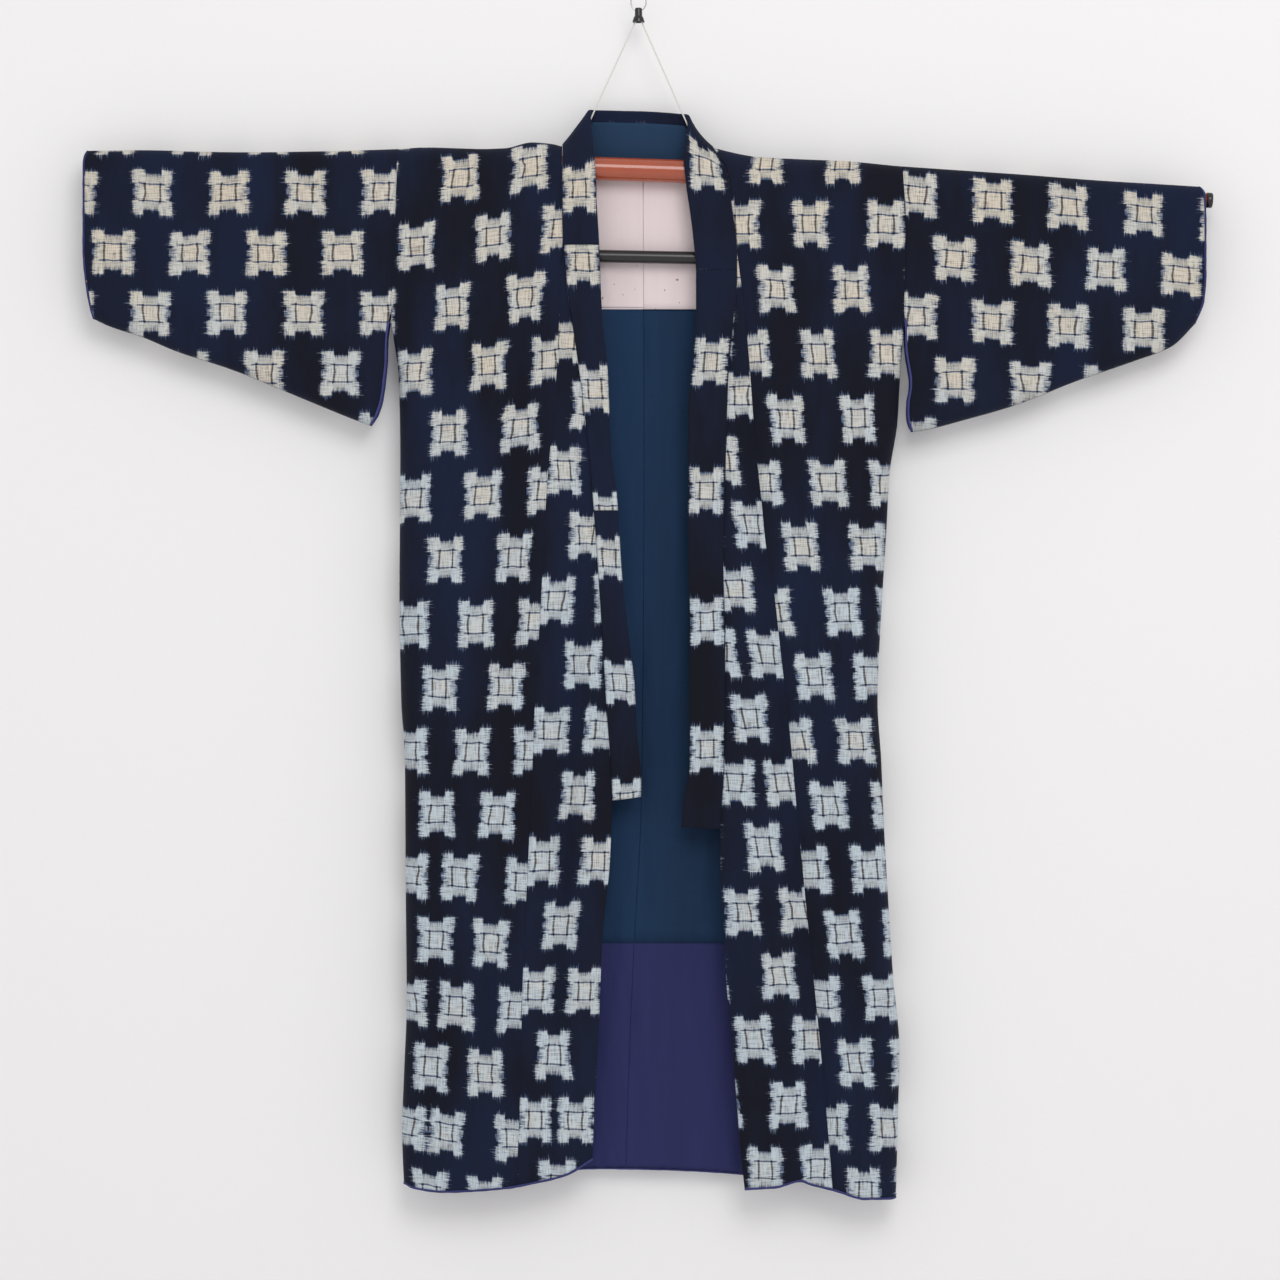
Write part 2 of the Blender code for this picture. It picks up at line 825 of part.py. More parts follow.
def grid_mesh(name, places, round_it):
    """A grid whose rows and columns of corners are set to the given places."""
    if round_it:
        places = np.concatenate([places, places[:, :1]], axis=1)
    row_count, column_count = places.shape[:2]
    build = bmesh.new()
    bmesh.ops.create_grid(build, x_segments=column_count - 1, y_segments=row_count - 1, size=0.5)
    for corner in build.verts:
        column = round((corner.co.x + 0.5) * (column_count - 1))
        row = round((corner.co.y + 0.5) * (row_count - 1))
        corner.co = places[row, column]
    if round_it:
        bmesh.ops.remove_doubles(build, verts=build.verts, dist=1e-6)
    mesh = bpy.data.meshes.new(name)
    build.to_mesh(mesh)
    build.free()
    mesh.shade_smooth()
    return mesh


def sheet(name, places, wall, colour, round_it=False):
    """A piece of cloth of even thickness about the given surface."""
    made = add_object(name, grid_mesh(name, places, round_it), colour)
    shell = made.modifiers.new("Wall", "SOLIDIFY")
    shell.thickness = wall * MM
    shell.offset = 0.0
    shell.use_even_offset = False
    shell.use_rim = True
    return made


def turned(name, start, end, profile, colour, around=24, roughness=0.4, metallic=0.0, hollow=False):
    """A turned part between two places: the profile gives distance along and radius."""
    begin = Vector([float(v) * MM for v in start])
    direction = Vector([float(v) * MM for v in end]) - begin
    build = bmesh.new()
    line = [build.verts.new((radius * MM, 0, along * MM)) for along, radius in reversed(profile)]
    for first, second in zip(line[:-1], line[1:]):
        build.edges.new((first, second))
    if hollow:
        build.edges.new((line[-1], line[0]))
    mesh = bpy.data.meshes.new(name)
    build.to_mesh(mesh)
    build.free()
    made = add_object(name, mesh, colour, roughness, metallic)
    spin = made.modifiers.new("Turn", "SCREW")
    spin.axis = "Z"
    spin.steps = around
    spin.render_steps = around
    spin.use_merge_vertices = True
    spin.merge_threshold = 0.00001
    made.location = begin
    made.rotation_mode = "QUATERNION"
    made.rotation_quaternion = direction.to_track_quat("Z", "Y")
    return made


def wire(name, places, radius, colour, closed=False, roughness=0.7, metallic=0.0):
    """A round cord or wire along the given places."""
    curve = bpy.data.curves.new(name, "CURVE")
    curve.dimensions = "3D"
    curve.bevel_depth = radius * MM
    curve.bevel_resolution = 2
    curve.use_fill_caps = True
    line = curve.splines.new("POLY")
    line.points.add(len(places) - 1)
    for point, place in zip(line.points, places):
        point.co = (place[0] * MM, place[1] * MM, place[2] * MM, 1)
    line.use_cyclic_u = closed
    return add_object(name, curve, colour, roughness, metallic)


def drill(target, name, start, end, radius):
    """Cut a round hole through a part."""
    length = math.dist(start, end)
    profile = [(0, 0), (0, radius), (length, radius), (length, 0)]
    cutter = turned(name, start, end, profile, BLACK, around=16)
    for home in list(cutter.users_collection):
        home.objects.unlink(cutter)
    store = bpy.data.collections.get("Cutters")
    if store is None:
        store = bpy.data.collections.new("Cutters")
        bpy.context.scene.collection.children.link(store)
    store.objects.link(cutter)
    cutter.display_type = "WIRE"
    cutter.hide_render = True
    cut = target.modifiers.new(name, "BOOLEAN")
    cut.operation = "DIFFERENCE"
    cut.solver = "EXACT"
    cut.object = cutter


def on_axis(x):
    """Place on the hanger's axis."""
    return (x, 0.0, -float(axis_drop(x)))


def bar_drop(x):
    """Drop of the lower bar's axis."""
    rows = np.asarray(BAR_AXIS, dtype=float)
    return float(np.interp(x, rows[:, 0], rows[:, 1]))


def build_hanger():
    """Ring, ferrule, cord, telescopic tube with its two rods, and the lower bar."""
    tube_length = math.dist(on_axis(-TUBE_HALF), on_axis(TUBE_HALF))
    tube_profile = [
        (0.0, TUBE_BORE),
        (0.0, TUBE_RADIUS - 0.8),
        (0.8, TUBE_RADIUS),
        (tube_length - 0.8, TUBE_RADIUS),
        (tube_length, TUBE_RADIUS - 0.8),
        (tube_length, TUBE_BORE),
    ]
    tube = turned(
        "pole_tube",
        on_axis(-TUBE_HALF),
        on_axis(TUBE_HALF),
        tube_profile,
        ORANGE_BROWN,
        around=32,
        roughness=0.25,
        hollow=True,
    )
    for half, tip, inside in ((-1, -592.0, 30.0), (1, 624.6, 30.0)):
        joint = np.array(on_axis(half * TUBE_HALF))
        outer = np.array(on_axis(tip))
        direction = (outer - joint) / np.linalg.norm(outer - joint)
        begin = joint - direction * inside
        length = float(np.linalg.norm(outer - begin))
        profile = [(0, 0), (0, 7.4), (0.6, ROD_RADIUS), (length, ROD_RADIUS), (length, 0)]
        rod_name = "rod_" + SEAM_NAME[half]
        turned(rod_name, begin, outer, profile, RED_BROWN, around=20, roughness=0.25)
        cap_start = outer + direction * SEAM_GAP
        cap_end = outer + direction * 7.0
        cap = [(0, 0), (0, 8.5), (5.2, 8.5), (6.4, 7.9), (6.7, 6.8), (6.7, 0)]
        turned("cap_" + SEAM_NAME[half], cap_start, cap_end, cap, BLACK, around=20)
    bar_start = (-BAR_HALF, 0.0, -bar_drop(-BAR_HALF))
    bar_end = (BAR_HALF, 0.0, -bar_drop(BAR_HALF))
    bar_length = math.dist(bar_start, bar_end)
    bar_profile = [
        (0, 0),
        (0, BAR_RADIUS - 1.2),
        (1.2, BAR_RADIUS),
        (bar_length - 1.2, BAR_RADIUS),
        (bar_length, BAR_RADIUS - 1.2),
        (bar_length, 0),
    ]
    bar = turned("lower_bar", bar_start, bar_end, bar_profile, BLACK, around=20, roughness=0.3)
    for half in (-1, 1):
        x = half * CORD_X
        height = float(axis_drop(x))
        name = "hole_" + SEAM_NAME[half]
        drill(tube, name, (x, 0, -height - 20), (x, 0, -height + 20), CORD_HOLE)
        drill(bar, name + "_bar", (x, 0, -bar_drop(x) - 14), (x, 0, -bar_drop(x) + 14), CORD_HOLE)
        knot_top = bar_drop(x) + BAR_RADIUS + 1.6
        knot = [(0, 0), (0.4, 2.0), (1.6, 3.0), (3.2, 3.2), (4.8, 2.6), (5.6, 1.4), (6.0, 0)]
        turned(
            "knot_" + SEAM_NAME[half],
            (x, 0, -knot_top),
            (x, 0.01, -knot_top - 6.0),
            knot,
            CORD_WHITE,
            around=12,
            roughness=0.8,
        )
    path = []
    for half in (-1, 1):
        x = half * CORD_X
        height = float(axis_drop(x))
        bend = (x, 0.0, -(height - TUBE_RADIUS - 1.8))
        foot = (x, 0.0, -(bar_drop(x) + BAR_RADIUS + 1.2))
        neck = (half * 2.4, 0.0, -28.6)
        leg = [foot, bend, neck, (half * 1.9, 0.0, -27.6), (half * 1.0, 0.0, -27.0)]
        path = path + (leg if half < 0 else list(reversed(leg)))
    wire("cord", path, CORD_RADIUS, CORD_WHITE, roughness=0.8)
    ferrule_profile = [
        (0, 0),
        (0, 3.2),
        (0.8, 4.0),
        (8.6, 4.1),
        (10.0, 5.0),
        (11.5, 5.6),
        (16.0, 6.9),
        (16.0, 6.0),
        (11.6, 4.6),
        (10.2, 4.0),
        (9.8, 0),
    ]
    ferrule = turned(
        "ferrule",
        (0, 0, -15.6),
        (0, 0.01, -31.6),
        ferrule_profile,
        BLACK,
        around=20,
        roughness=0.35,
    )
    drill(ferrule, "ring_hole", (-9, 0, -18.6), (9, 0, -18.6), 1.8)
    ring = []
    for k in range(28):
        angle = 2 * math.pi * k / 28
        ring.append((8.3 * math.sin(angle), 0.0, -9.2 + 10.0 * math.cos(angle)))
    wire("ring", ring, 0.8, STEEL, closed=True, roughness=0.3, metallic=1.0)


def build_cloth():
    """Every piece that the garment's maker cuts."""
    for half in (-1, 1):
        name = SEAM_NAME[half]
        sheet("body_" + name, body_points(half), CLOTH_WALL, INDIGO)
        sheet("okumi_" + name, okumi_points(half), CLOTH_WALL, INDIGO)
        sheet("sleeve_" + name, sleeve_points(half), CLOTH_WALL, INDIGO, round_it=True)
        sheet("yoke_lining_" + name, yoke_points(half), LINING_WALL, PINK)
        teal_top = PINK_BOTTOM[half] + SEAM_GAP
        teal = lining_points(half, teal_top, lambda x: np.full_like(x, TEAL_BOTTOM))
        sheet("back_lining_" + name, teal, LINING_WALL, TEAL)
        violet_top = TEAL_BOTTOM + SEAM_GAP
        violet = lining_points(half, violet_top, lambda x: smooth(BACK_HEM, x) - HEM_LINING_SHORT)
        sheet("hem_lining_" + name, violet, LINING_WALL, VIOLET)
    sheet("band_neck", neck_points(), BAND_WALL, BAND_INDIGO)
    sheet("neck_lining", neck_lining_points(), LINING_WALL, TEAL)
    half_gap = SEAM_GAP / 2
    upper = band_front_rows(-1, BAND_JOIN[-1] + half_gap, LOWER_JOIN - half_gap)
    lower = band_front_rows(-1, LOWER_JOIN + half_gap, 885.0, BAND_END[-1])
    left = band_front_rows(1, BAND_JOIN[1] + half_gap, 917.0, BAND_END[1])
    sheet("band_right_upper", np.array(upper) * MM, BAND_WALL, BAND_INDIGO)
    sheet("band_right_lower", np.array(lower) * MM, BAND_WALL, BAND_INDIGO)
    sheet("band_left", np.array(left) * MM, BAND_WALL, BAND_INDIGO)


for old in list(bpy.data.objects):
    bpy.data.objects.remove(old)
build_cloth()
build_hanger()
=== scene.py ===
"""Looks of a long lined indigo hanten that hangs open on a telescopic hanger.

Tables are in millimetres: x runs across towards the wearer's left, drop is how
far a place lies below the hanging point, and the front looks along -Y. Meshes
are in metres. Half -1 is the wearer's right, half 1 the wearer's left.
"""

import logging
import math
from dataclasses import dataclass
from enum import Enum
from typing import Callable, Sequence, Union

import bmesh
import bpy
import numpy as np
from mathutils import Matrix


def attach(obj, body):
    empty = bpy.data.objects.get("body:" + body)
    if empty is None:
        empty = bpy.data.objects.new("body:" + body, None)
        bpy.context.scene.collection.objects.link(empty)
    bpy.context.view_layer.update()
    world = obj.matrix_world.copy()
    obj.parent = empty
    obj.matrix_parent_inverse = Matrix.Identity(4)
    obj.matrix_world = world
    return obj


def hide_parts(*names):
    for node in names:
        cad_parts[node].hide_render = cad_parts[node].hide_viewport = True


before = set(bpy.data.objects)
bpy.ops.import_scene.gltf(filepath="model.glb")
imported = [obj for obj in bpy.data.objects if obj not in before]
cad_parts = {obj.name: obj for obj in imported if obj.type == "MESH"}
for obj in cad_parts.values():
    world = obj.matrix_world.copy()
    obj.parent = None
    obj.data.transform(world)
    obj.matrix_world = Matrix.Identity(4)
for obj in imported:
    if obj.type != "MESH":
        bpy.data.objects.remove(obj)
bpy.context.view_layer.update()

Array = np.ndarray
Table = Sequence[Sequence[float]]
Colour = tuple[float, float, float]

LOG = logging.getLogger("hanten")
MM = 0.001
MERGE_REACH = 1e-8

# walls, gaps and levels in millimetres; a table for each half where they differ
CLOTH_WALL = 2.0
LINING_WALL = 1.0
BAND_WALL = 4.0
LINING_INSET = 1.8
BAND_PROUD = 0.6
NECK_CLEAR = 0.7
NECK_SAG = {-1: 0.5, 1: 3.2}
SIDE_ROUND = 16.0
SIDE_FACE = 0.2
SLEEVE_ROUND = 14.0
PINK_BOTTOM = {-1: 344.5, 1: 347.5}
TEAL_BOTTOM = 1045.0
OKUMI_TIP = {-1: 271.0, 1: 282.0}
ARMHOLE_BOTTOM = 362.0
SIDE_SEAM_TOP = 440.0
NECK_FOOT = {-1: 213.0, 1: 217.0}
BAND_JOIN = {-1: 278.0, 1: 306.0}
LOWER_JOIN = 569.0
BAND_END = {-1: (887.0, 883.0), 1: (918.0, 916.0)}
HALF_COLUMN = 42.0
# how far a middle surface stops short of a seam: a body's or okumi's, one at the neck or a
# band's join, and a band's or sleeve's long one
SEAM_GAP = 0.08
NECK_GAP = 0.1
BAND_GAP = 0.15
# drops at which the neck's corner, the middle seam and the sides are read at the top
NECK_TOP, BACK_TOP, SIDE_TOP = 170.0, 190.0, 188.0
# where columns of a cloth's mesh lie near its seam, before the even ones begin
SEAM_COLUMNS = (0.0, 1.1, 2.3, 3.8, 5.8)
EVEN_FROM = 8.5
HEM_ROLL = 1.7
EDGE_ROLL = 1.6
CORD_LAY = 3.2
CORD_STRANDS = 3

# x, drop of the hanger's axis and of the lower bar's axis
AXIS = [(-600, 184.5), (-230, 186.4), (230, 201.6), (625, 227.2)]
BAR_AXIS = [(-180, 286.0), (180, 293.1)]
# x, half depth and rise of the cloth where it goes over the hanger
WRAP = [
    (-609, 10.0, 10.5), (-543, 10.5, 11.5), (-444, 10.0, 9.8), (-345, 11.5, 11.4),
    (-265, 14.6, 14.2), (-232, 16.2, 16.2), (-180, 16.2, 16.2), (-147, 16.2, 18.0),
    (-116, 16.2, 25.5), (-95, 16.2, 24.4), (-84, 16.2, 22.2), (0, 16.2, 20.0),
    (83, 16.2, 25.4), (98, 16.2, 22.6), (113, 16.2, 19.8), (133, 16.2, 17.4),
    (183, 16.2, 16.6), (232, 16.2, 16.2), (290, 14.0, 14.4), (348, 13.6, 14.2),
    (414, 13.4, 14.0), (513, 12.6, 12.9), (612, 12.0, 13.3), (624, 12.0, 13.3),
]
# distance from the middle, half depth of the hanging cloth in front and behind
FULL_DEPTH = [
    (0, 19.0, 15.0), (60, 19.5, 15.0), (150, 20.5, 15.2), (230, 18.5, 15.0), (265, 16.5, 14.6),
    (300, 15.0, 13.6), (400, 13.5, 12.6), (520, 12.5, 12.0), (625, 12.0, 11.6),
]
# x and drop of a fold's top, x and drop of its foot, half width, height
FRONT_FOLDS = [
    (-102, 300, -138, 520, 13, -3.5), (-138, 500, -166, 680, 14, -4.0),
    (-199, 370, -216, 520, 14, -2.0), (-72, 640, -88, 1150, 12, -7.5),
    (-166, 1060, -168, 1190, 12, -4.0), (-212, 850, -223, 1180, 13, -4.5),
    (-101, 560, -124, 1240, 16, 4.5), (-187, 900, -194, 1150, 12, 2.0),
    (-240, 420, -242, 900, 16, 2.0), (-256, 305, -257, 400, 9, -2.0),
    (114, 440, 150, 790, 12, -5.5), (153, 780, 205, 1290, 15, -8.5),
    (82, 900, 108, 1290, 12, -4.0), (244, 490, 270, 600, 12, -2.5),
    (192, 660, 248, 1230, 13, -2.5), (214, 540, 238, 960, 15, 2.5),
    (106, 660, 132, 1180, 13, 3.5), (272, 296, 275, 385, 9, -2.0),
    (-572, 214, -572, 260, 12, -2.2), (-543, 246, -524, 330, 12, -3.2),
    (-493, 350, -493, 390, 14, -1.5), (-369, 380, -365, 430, 16, -2.0),
    (600, 240, 601, 300, 12, -2.4), (469, 385, 466, 430, 14, -2.0),
    (316, 380, 318, 450, 14, -2.4),
]
BACK_FOLDS = [
    (-150, 420, -170, 1200, 36, -1.4), (-80, 500, -95, 1250, 36, 1.4),
    (60, 480, 80, 1250, 36, 1.4), (150, 420, 175, 1250, 36, -1.5),
    (225, 500, 240, 1250, 34, 1.2), (-222, 520, -228, 1250, 34, 1.0),
    (-440, 260, -450, 400, 24, -1.6), (450, 280, 470, 420, 24, -1.6),
]
# drop, x for each edge of each half
SIDE_EDGE = {
    -1: [
        (160, -265), (188, -265), (244, -267), (319, -270), (357, -271), (380, -268),
        (415, -264), (511, -262), (667, -263), (777, -261), (843, -257), (997, -256),
        (1107, -255), (1190, -258), (1250, -260), (1330, -257),
    ],
    1: [
        (160, 289), (197, 290), (247, 293), (303, 292), (363, 291), (392, 289), (433, 287),
        (470, 285), (530, 276), (585, 273), (667, 268), (777, 263), (843, 267), (915, 270),
        (986, 274), (1080, 280), (1162, 287), (1250, 285), (1330, 283),
    ],
}
BAND_SEAM = {
    -1: [
        (165, -84), (228, -84), (271, -83), (326, -78), (402, -67), (501, -55), (597, -47),
        (687, -41), (788, -35), (854, -30), (887, -29),
    ],
    1: [
        (165, 82), (174, 84), (192, 96), (240, 103), (282, 108), (315, 108), (359, 104),
        (431, 98), (541, 95), (623, 93), (713, 95), (847, 94), (918, 90),
    ],
}
BAND_FREE = {
    -1: [
        (228, -46), (277, -43), (352, -40), (410, -34), (506, -30), (548, -24), (639, -18),
        (713, -10), (762, -4), (807, -2), (863, 3), (890, 3),
    ],
    1: [
        (206, 51), (262, 59), (312, 63), (346, 63), (415, 58), (468, 54), (607, 54),
        (687, 56), (767, 56), (847, 56), (882, 50), (916, 47),
    ],
}
OKUMI_SEAM = {
    -1: [
        (271, -83), (326, -86), (359, -87), (403, -89), (447, -92), (554, -101), (674, -107),
        (794, -114), (854, -116), (938, -120), (1096, -127), (1222, -130), (1330, -135),
    ],
    1: [
        (282, 108), (332, 114), (378, 119), (425, 123), (491, 128), (557, 135), (607, 140),
        (661, 149), (713, 155), (820, 167), (875, 172), (1001, 184), (1159, 200),
        (1285, 211), (1330, 214),
    ],
}
FRONT_EDGE = {
    -1: [(948, -31), (1046, -40), (1127, -43), (1222, -48), (1300, -51)],
    1: [(970, 90), (1032, 94), (1080, 96), (1144, 102), (1206, 107), (1269, 112), (1330, 118)],
}
# x, drop of the front hem, and of the back hem
FRONT_HEM = {
    -1: [
        (-258, 1306), (-246, 1311), (-213, 1315), (-147, 1311), (-114, 1305), (-81, 1297),
        (-50, 1279),
    ],
    1: [
        (117, 1312), (150, 1310), (178, 1303), (189, 1307), (216, 1314), (249, 1323),
        (284, 1323),
    ],
}
BACK_HEM = [
    (-257, 1308), (-152, 1302), (-42, 1293), (18, 1294), (84, 1297), (178, 1306), (283, 1320),
]
# drop, x of the middle seam
MIDDLE = [(190, 5), (502, 6), (887, 3), (1045, -5), (1159, -10), (1320, -15)]
# drop, how far the sleeve's inner edge stands off the body's side edge
SLEEVE_STAND = {
    -1: [(160, 0), (345, 0), (357, 2), (377, 8), (420, 15), (445, 19), (463, 25), (476, 33)],
    1: [(160, 0), (350, 0), (363, 2), (392, 5), (433, 12), (452, 10), (467, 11), (484, 18)],
}
# drop, x of the cuff
CUFF = {
    -1: [(165, -603), (189, -609), (282, -609), (310, -607), (337, -603), (360, -598)],
    1: [(208, 613), (222, 621), (255, 622), (310, 622), (337, 620), (363, 611)],
}
# x, drop of the sleeve's lower edge
SLEEVE_LOW = {
    -1: [
        (-603, 355), (-582, 365), (-543, 378), (-510, 392), (-444, 414), (-378, 441),
        (-312, 468), (-290, 476),
    ],
    1: [
        (296, 482), (321, 478), (348, 471), (414, 452), (480, 426), (546, 403), (585, 388),
        (615, 359),
    ],
}
# share of the way from the middle of the back to the side, free x, free y, free drop
NECK_BACK = {
    -1: [
        (0.0, 0.0, 13.4, 127.8), (0.33, -20.0, 13.3, 127.4), (0.66, -36.0, 12.6, 127.0),
        (0.9, -46.0, 10.8, 127.0),
    ],
    1: [
        (0.0, 0.0, 13.4, 127.8), (0.33, 20.0, 13.3, 128.8), (0.66, 36.0, 12.6, 130.0),
        (0.9, 46.0, 10.8, 131.0),
    ],
}
# turn of the band's seam (0 behind, 1 in front), free x, free y, free drop
NECK_OVER = {
    -1: [
        (0.06, -49.0, 9.4, 127.0), (0.2, -51.2, 7.2, 127.0), (0.35, -52.4, 4.0, 127.2),
        (0.5, -52.8, 0.0, 128.4), (0.65, -52.4, -4.8, 135.5), (0.8, -51.2, -8.4, 147.0),
        (0.92, -49.6, -13.0, 163.0), (1.0, -48.4, -16.2, 178.0),
    ],
    1: [
        (0.06, 49.0, 9.4, 131.3), (0.2, 51.2, 7.2, 131.6), (0.35, 53.0, 4.2, 132.2),
        (0.5, 53.6, 0.0, 133.8), (0.65, 54.0, -5.2, 142.0), (0.8, 52.2, -9.6, 154.0),
        (0.92, 50.6, -13.2, 170.0), (1.0, 49.2, -16.2, 184.0),
    ],
}
# share of the way along the back neck, drop of the row's far end below the hanger
NECK_FAN = [(0.0, 62.0), (0.3, 46.0), (0.62, 31.0), (0.88, 16.0), (1.0, 5.0)]

# Where the woven motifs lie: drop, x along each half column of them on the fronts
BODY_COLUMNS = {
    -1: [
        [(277, -243), (700, -249), (1240, -252)],
        [(205, -195), (346, -204), (486, -208), (629, -212), (766, -218), (905, -221),
         (1043, -222), (1182, -228)],
        [(269, -159), (412, -164), (552, -171), (693, -178), (832, -182), (974, -196),
         (1118, -200), (1256, -212)],
        [(194, -119), (334, -124), (473, -129), (618, -136), (761, -145), (902, -155),
         (1047, -162), (1186, -168), (1309, -168)],
        [(255, -86), (399, -98), (546, -101), (686, -113), (832, -117), (976, -126),
         (1116, -135), (1259, -138)],
    ],
    1: [
        [(258, 114), (392, 125), (533, 136), (678, 148), (822, 173), (966, 189), (1108, 202),
         (1245, 212)],
        [(198, 139), (325, 151), (467, 162), (608, 178), (752, 193), (897, 210), (1038, 226),
         (1178, 238), (1307, 248)],
        [(260, 188), (400, 197), (540, 208), (680, 224), (825, 238), (968, 254), (1111, 267),
         (1248, 273)],
        [(204, 223), (332, 234), (473, 241), (612, 251), (753, 256), (900, 276), (1240, 300)],
        [(269, 271), (410, 272), (533, 273), (753, 286), (1240, 330)],
    ],
}
OKUMI_COLUMNS = {
    -1: [
        [(378, -79), (524, -81), (665, -90), (808, -96), (950, -106), (1091, -112),
         (1233, -114)],
        [(378, -52), (598, -58), (741, -61), (884, -67), (1023, -85), (1160, -93), (1287, -89)],
        [(378, -12), (598, -24), (810, -39), (955, -45), (1091, -59), (1222, -69)],
    ],
    1: [
        [(444, 112), (584, 124), (722, 140), (862, 157), (1004, 174), (1146, 189),
         (1291, 197)],
        [(444, 84), (653, 106), (793, 122), (934, 137), (1068, 153), (1208, 164)],
        [(444, 50), (653, 78), (865, 107), (1004, 114), (1142, 126), (1284, 139)],
    ],
}
# drop, count of half rows at the middle of each motif on a stretch of band
BAND_MOTIFS = {
    "band_right_upper": [(296, 0), (436, 2), (574, 4)],
    "band_right_lower": [(623, 0), (757.5, 2), (887, 4)],
    "band_left": [(405.5, 0), (547, 2), (691.5, 4), (830, 6)],
}
NECK_MOTIF = {-1: 216.0, 1: 193.0}
BAND_HALF_ROW = 69.5
# drop and pitch of the half rows, and how each changes from one half column to the next
BODY_ROWS = {-1: (211.0, 69.0, -5.8, 0.68), 1: (184.9, 70.7, 0.0, 0.0)}
OKUMI_ROWS = {-1: (383.0, 71.2), 1: (444.0, 70.5)}
# pitch of the half columns across the hung and the flat cloth, x of the first one on each half
BODY_PITCH, FLAT_PITCH = 41.5, 44.0
BACK_FIRST = {-1: -247.0, 1: 104.0}
SLEEVE_FLAT_PITCH = 40.0


class Half(Enum):
    """The two sides of the garment, as the wearer has them."""

    RIGHT = -1
    LEFT = 1

    @property
    def word(self) -> str:
        """The side's name in piece names."""
        return self.name.lower()


# Shape of the hanging cloth


def smooth(table: Table, at: Array, column: int = 1) -> Array:
    """Read a table along a monotone cubic line through its rows.

    Args:
        table: rows whose first column rises.
        at: keys to read at; past the ends the end rows hold.
        column: the column that is read.

    Returns:
        The column's value at each key.
    """
    rows = np.asarray(table, dtype=float)
    keys, values = rows[:, 0], rows[:, column]
    step = np.diff(keys)
    slope = np.diff(values) / step
    tangent = np.zeros_like(values)
    tangent[0], tangent[-1] = slope[0], slope[-1]
    before, after = slope[:-1], slope[1:]
    same_way = before * after > 0
    total = np.where(same_way, before + after, 1.0)
    tangent[1:-1] = np.where(same_way, 2 * before * after / total, 0.0)
    where = np.clip(np.asarray(at, dtype=float), keys[0], keys[-1])
    i = np.clip(np.searchsorted(keys, where) - 1, 0, len(step) - 1)
    u = (where - keys[i]) / step[i]
    flat = 2 * u**3 - 3 * u**2 + 1
    ends = flat * values[i] + (1 - flat) * values[i + 1]
    bend = (u**3 - 2 * u**2 + u) * tangent[i] + (u**3 - u**2) * tangent[i + 1]
    return ends + step[i] * bend


def ease(low: float, high: float, at: Array) -> Array:
    """0 below low, 1 above high and 3u^2 - 2u^3 between them."""
    u = np.clip((np.asarray(at, dtype=float) - low) / (high - low), 0, 1)
    return u * u * (3 - 2 * u)


def axis_drop(x: Array) -> Array:
    """Drop of the hanger's axis at x."""
    rows = np.asarray(AXIS, dtype=float)
    return np.interp(x, rows[:, 0], rows[:, 1])


def folds(table: Table, x: Array, drop: Array) -> Array:
    """Sum of ridges and valleys, each a bell across its leaning line.

    A fold adds height * exp(-(offset / width)^2) and fades in and out along
    the line over a quarter of its length.
    """
    total = np.zeros(np.broadcast(x, drop).shape)
    for x_top, top, x_foot, foot, width, height in table:
        middle = x_top + (drop - top) * (x_foot - x_top) / (foot - top)
        length = foot - top
        along = ease(top - 0.25 * length, top + 0.25 * length, drop)
        along = along * (1 - ease(foot - 0.2 * length, foot + 0.2 * length, drop))
        total = total + height * along * np.exp(-(((x - middle) / width) ** 2))
    return total


def rumple(x: Array, drop: Array, wide: float, long: float, seed: int) -> Array:
    """Soft uneven waves between -1 and 1 or so.

    Seven sines with seeded directions and phases are added, each about wide
    millimetres across and long millimetres down.
    """
    draw = np.random.default_rng(seed)
    total = np.zeros(np.broadcast(x, drop).shape)
    for _ in range(7):
        across = draw.uniform(0.6, 1.5) * draw.choice([-1, 1]) / wide
        down = draw.uniform(-1.0, 1.0) / long
        phase = draw.uniform(0, 2 * math.pi)
        total = total + np.sin(2 * math.pi * (x * across + drop * down) + phase)
    return total / 3.2


def hanging_depth(x: Array, drop: Array, behind: bool) -> Array:
    """Distance of the cloth's middle surface from the hanger's plane.

    It starts as the wrap over the hanger, eases to the full depth 170 mm
    lower, and has the folds and fine rumples added to it.
    """
    below = drop - axis_drop(x)
    top = smooth(WRAP, x, 1)
    full = smooth(FULL_DEPTH, np.abs(x), 2 if behind else 1)
    grown = top + (full - top) * ease(0, 170, below)
    table = BACK_FOLDS if behind else FRONT_FOLDS
    fine = 0.42 * rumple(x, drop, 46, 330, 11 if behind else 5)
    fine = fine + 0.2 * rumple(x, drop, 21, 120, 12 if behind else 6)
    return grown + (folds(table, x, drop) + fine) * ease(8, 70, below)


def side_line(half: int, drop: Array) -> Array:
    """x where the body's middle surface ends, half a wall inside the closed side edge."""
    closed = ease(ARMHOLE_BOTTOM, SIDE_SEAM_TOP, drop)
    return smooth(SIDE_EDGE[half], drop) - half * closed * CLOTH_WALL / 2


def closing(distance: Array, drop: Array) -> Array:
    """Share of the depth left near the closed side: a quarter circle of SIDE_ROUND."""
    shut = ease(ARMHOLE_BOTTOM, SIDE_SEAM_TOP, drop)
    near = np.clip(distance / SIDE_ROUND, 0, 1)
    return 1 - shut + shut * np.sqrt(1 - (1 - near) ** 2)


def band_line(half: int, drop: Array) -> Array:
    """x of the cloth's edge under the band, then of the free front edge."""
    return smooth(BAND_SEAM[half] + FRONT_EDGE[half], drop)


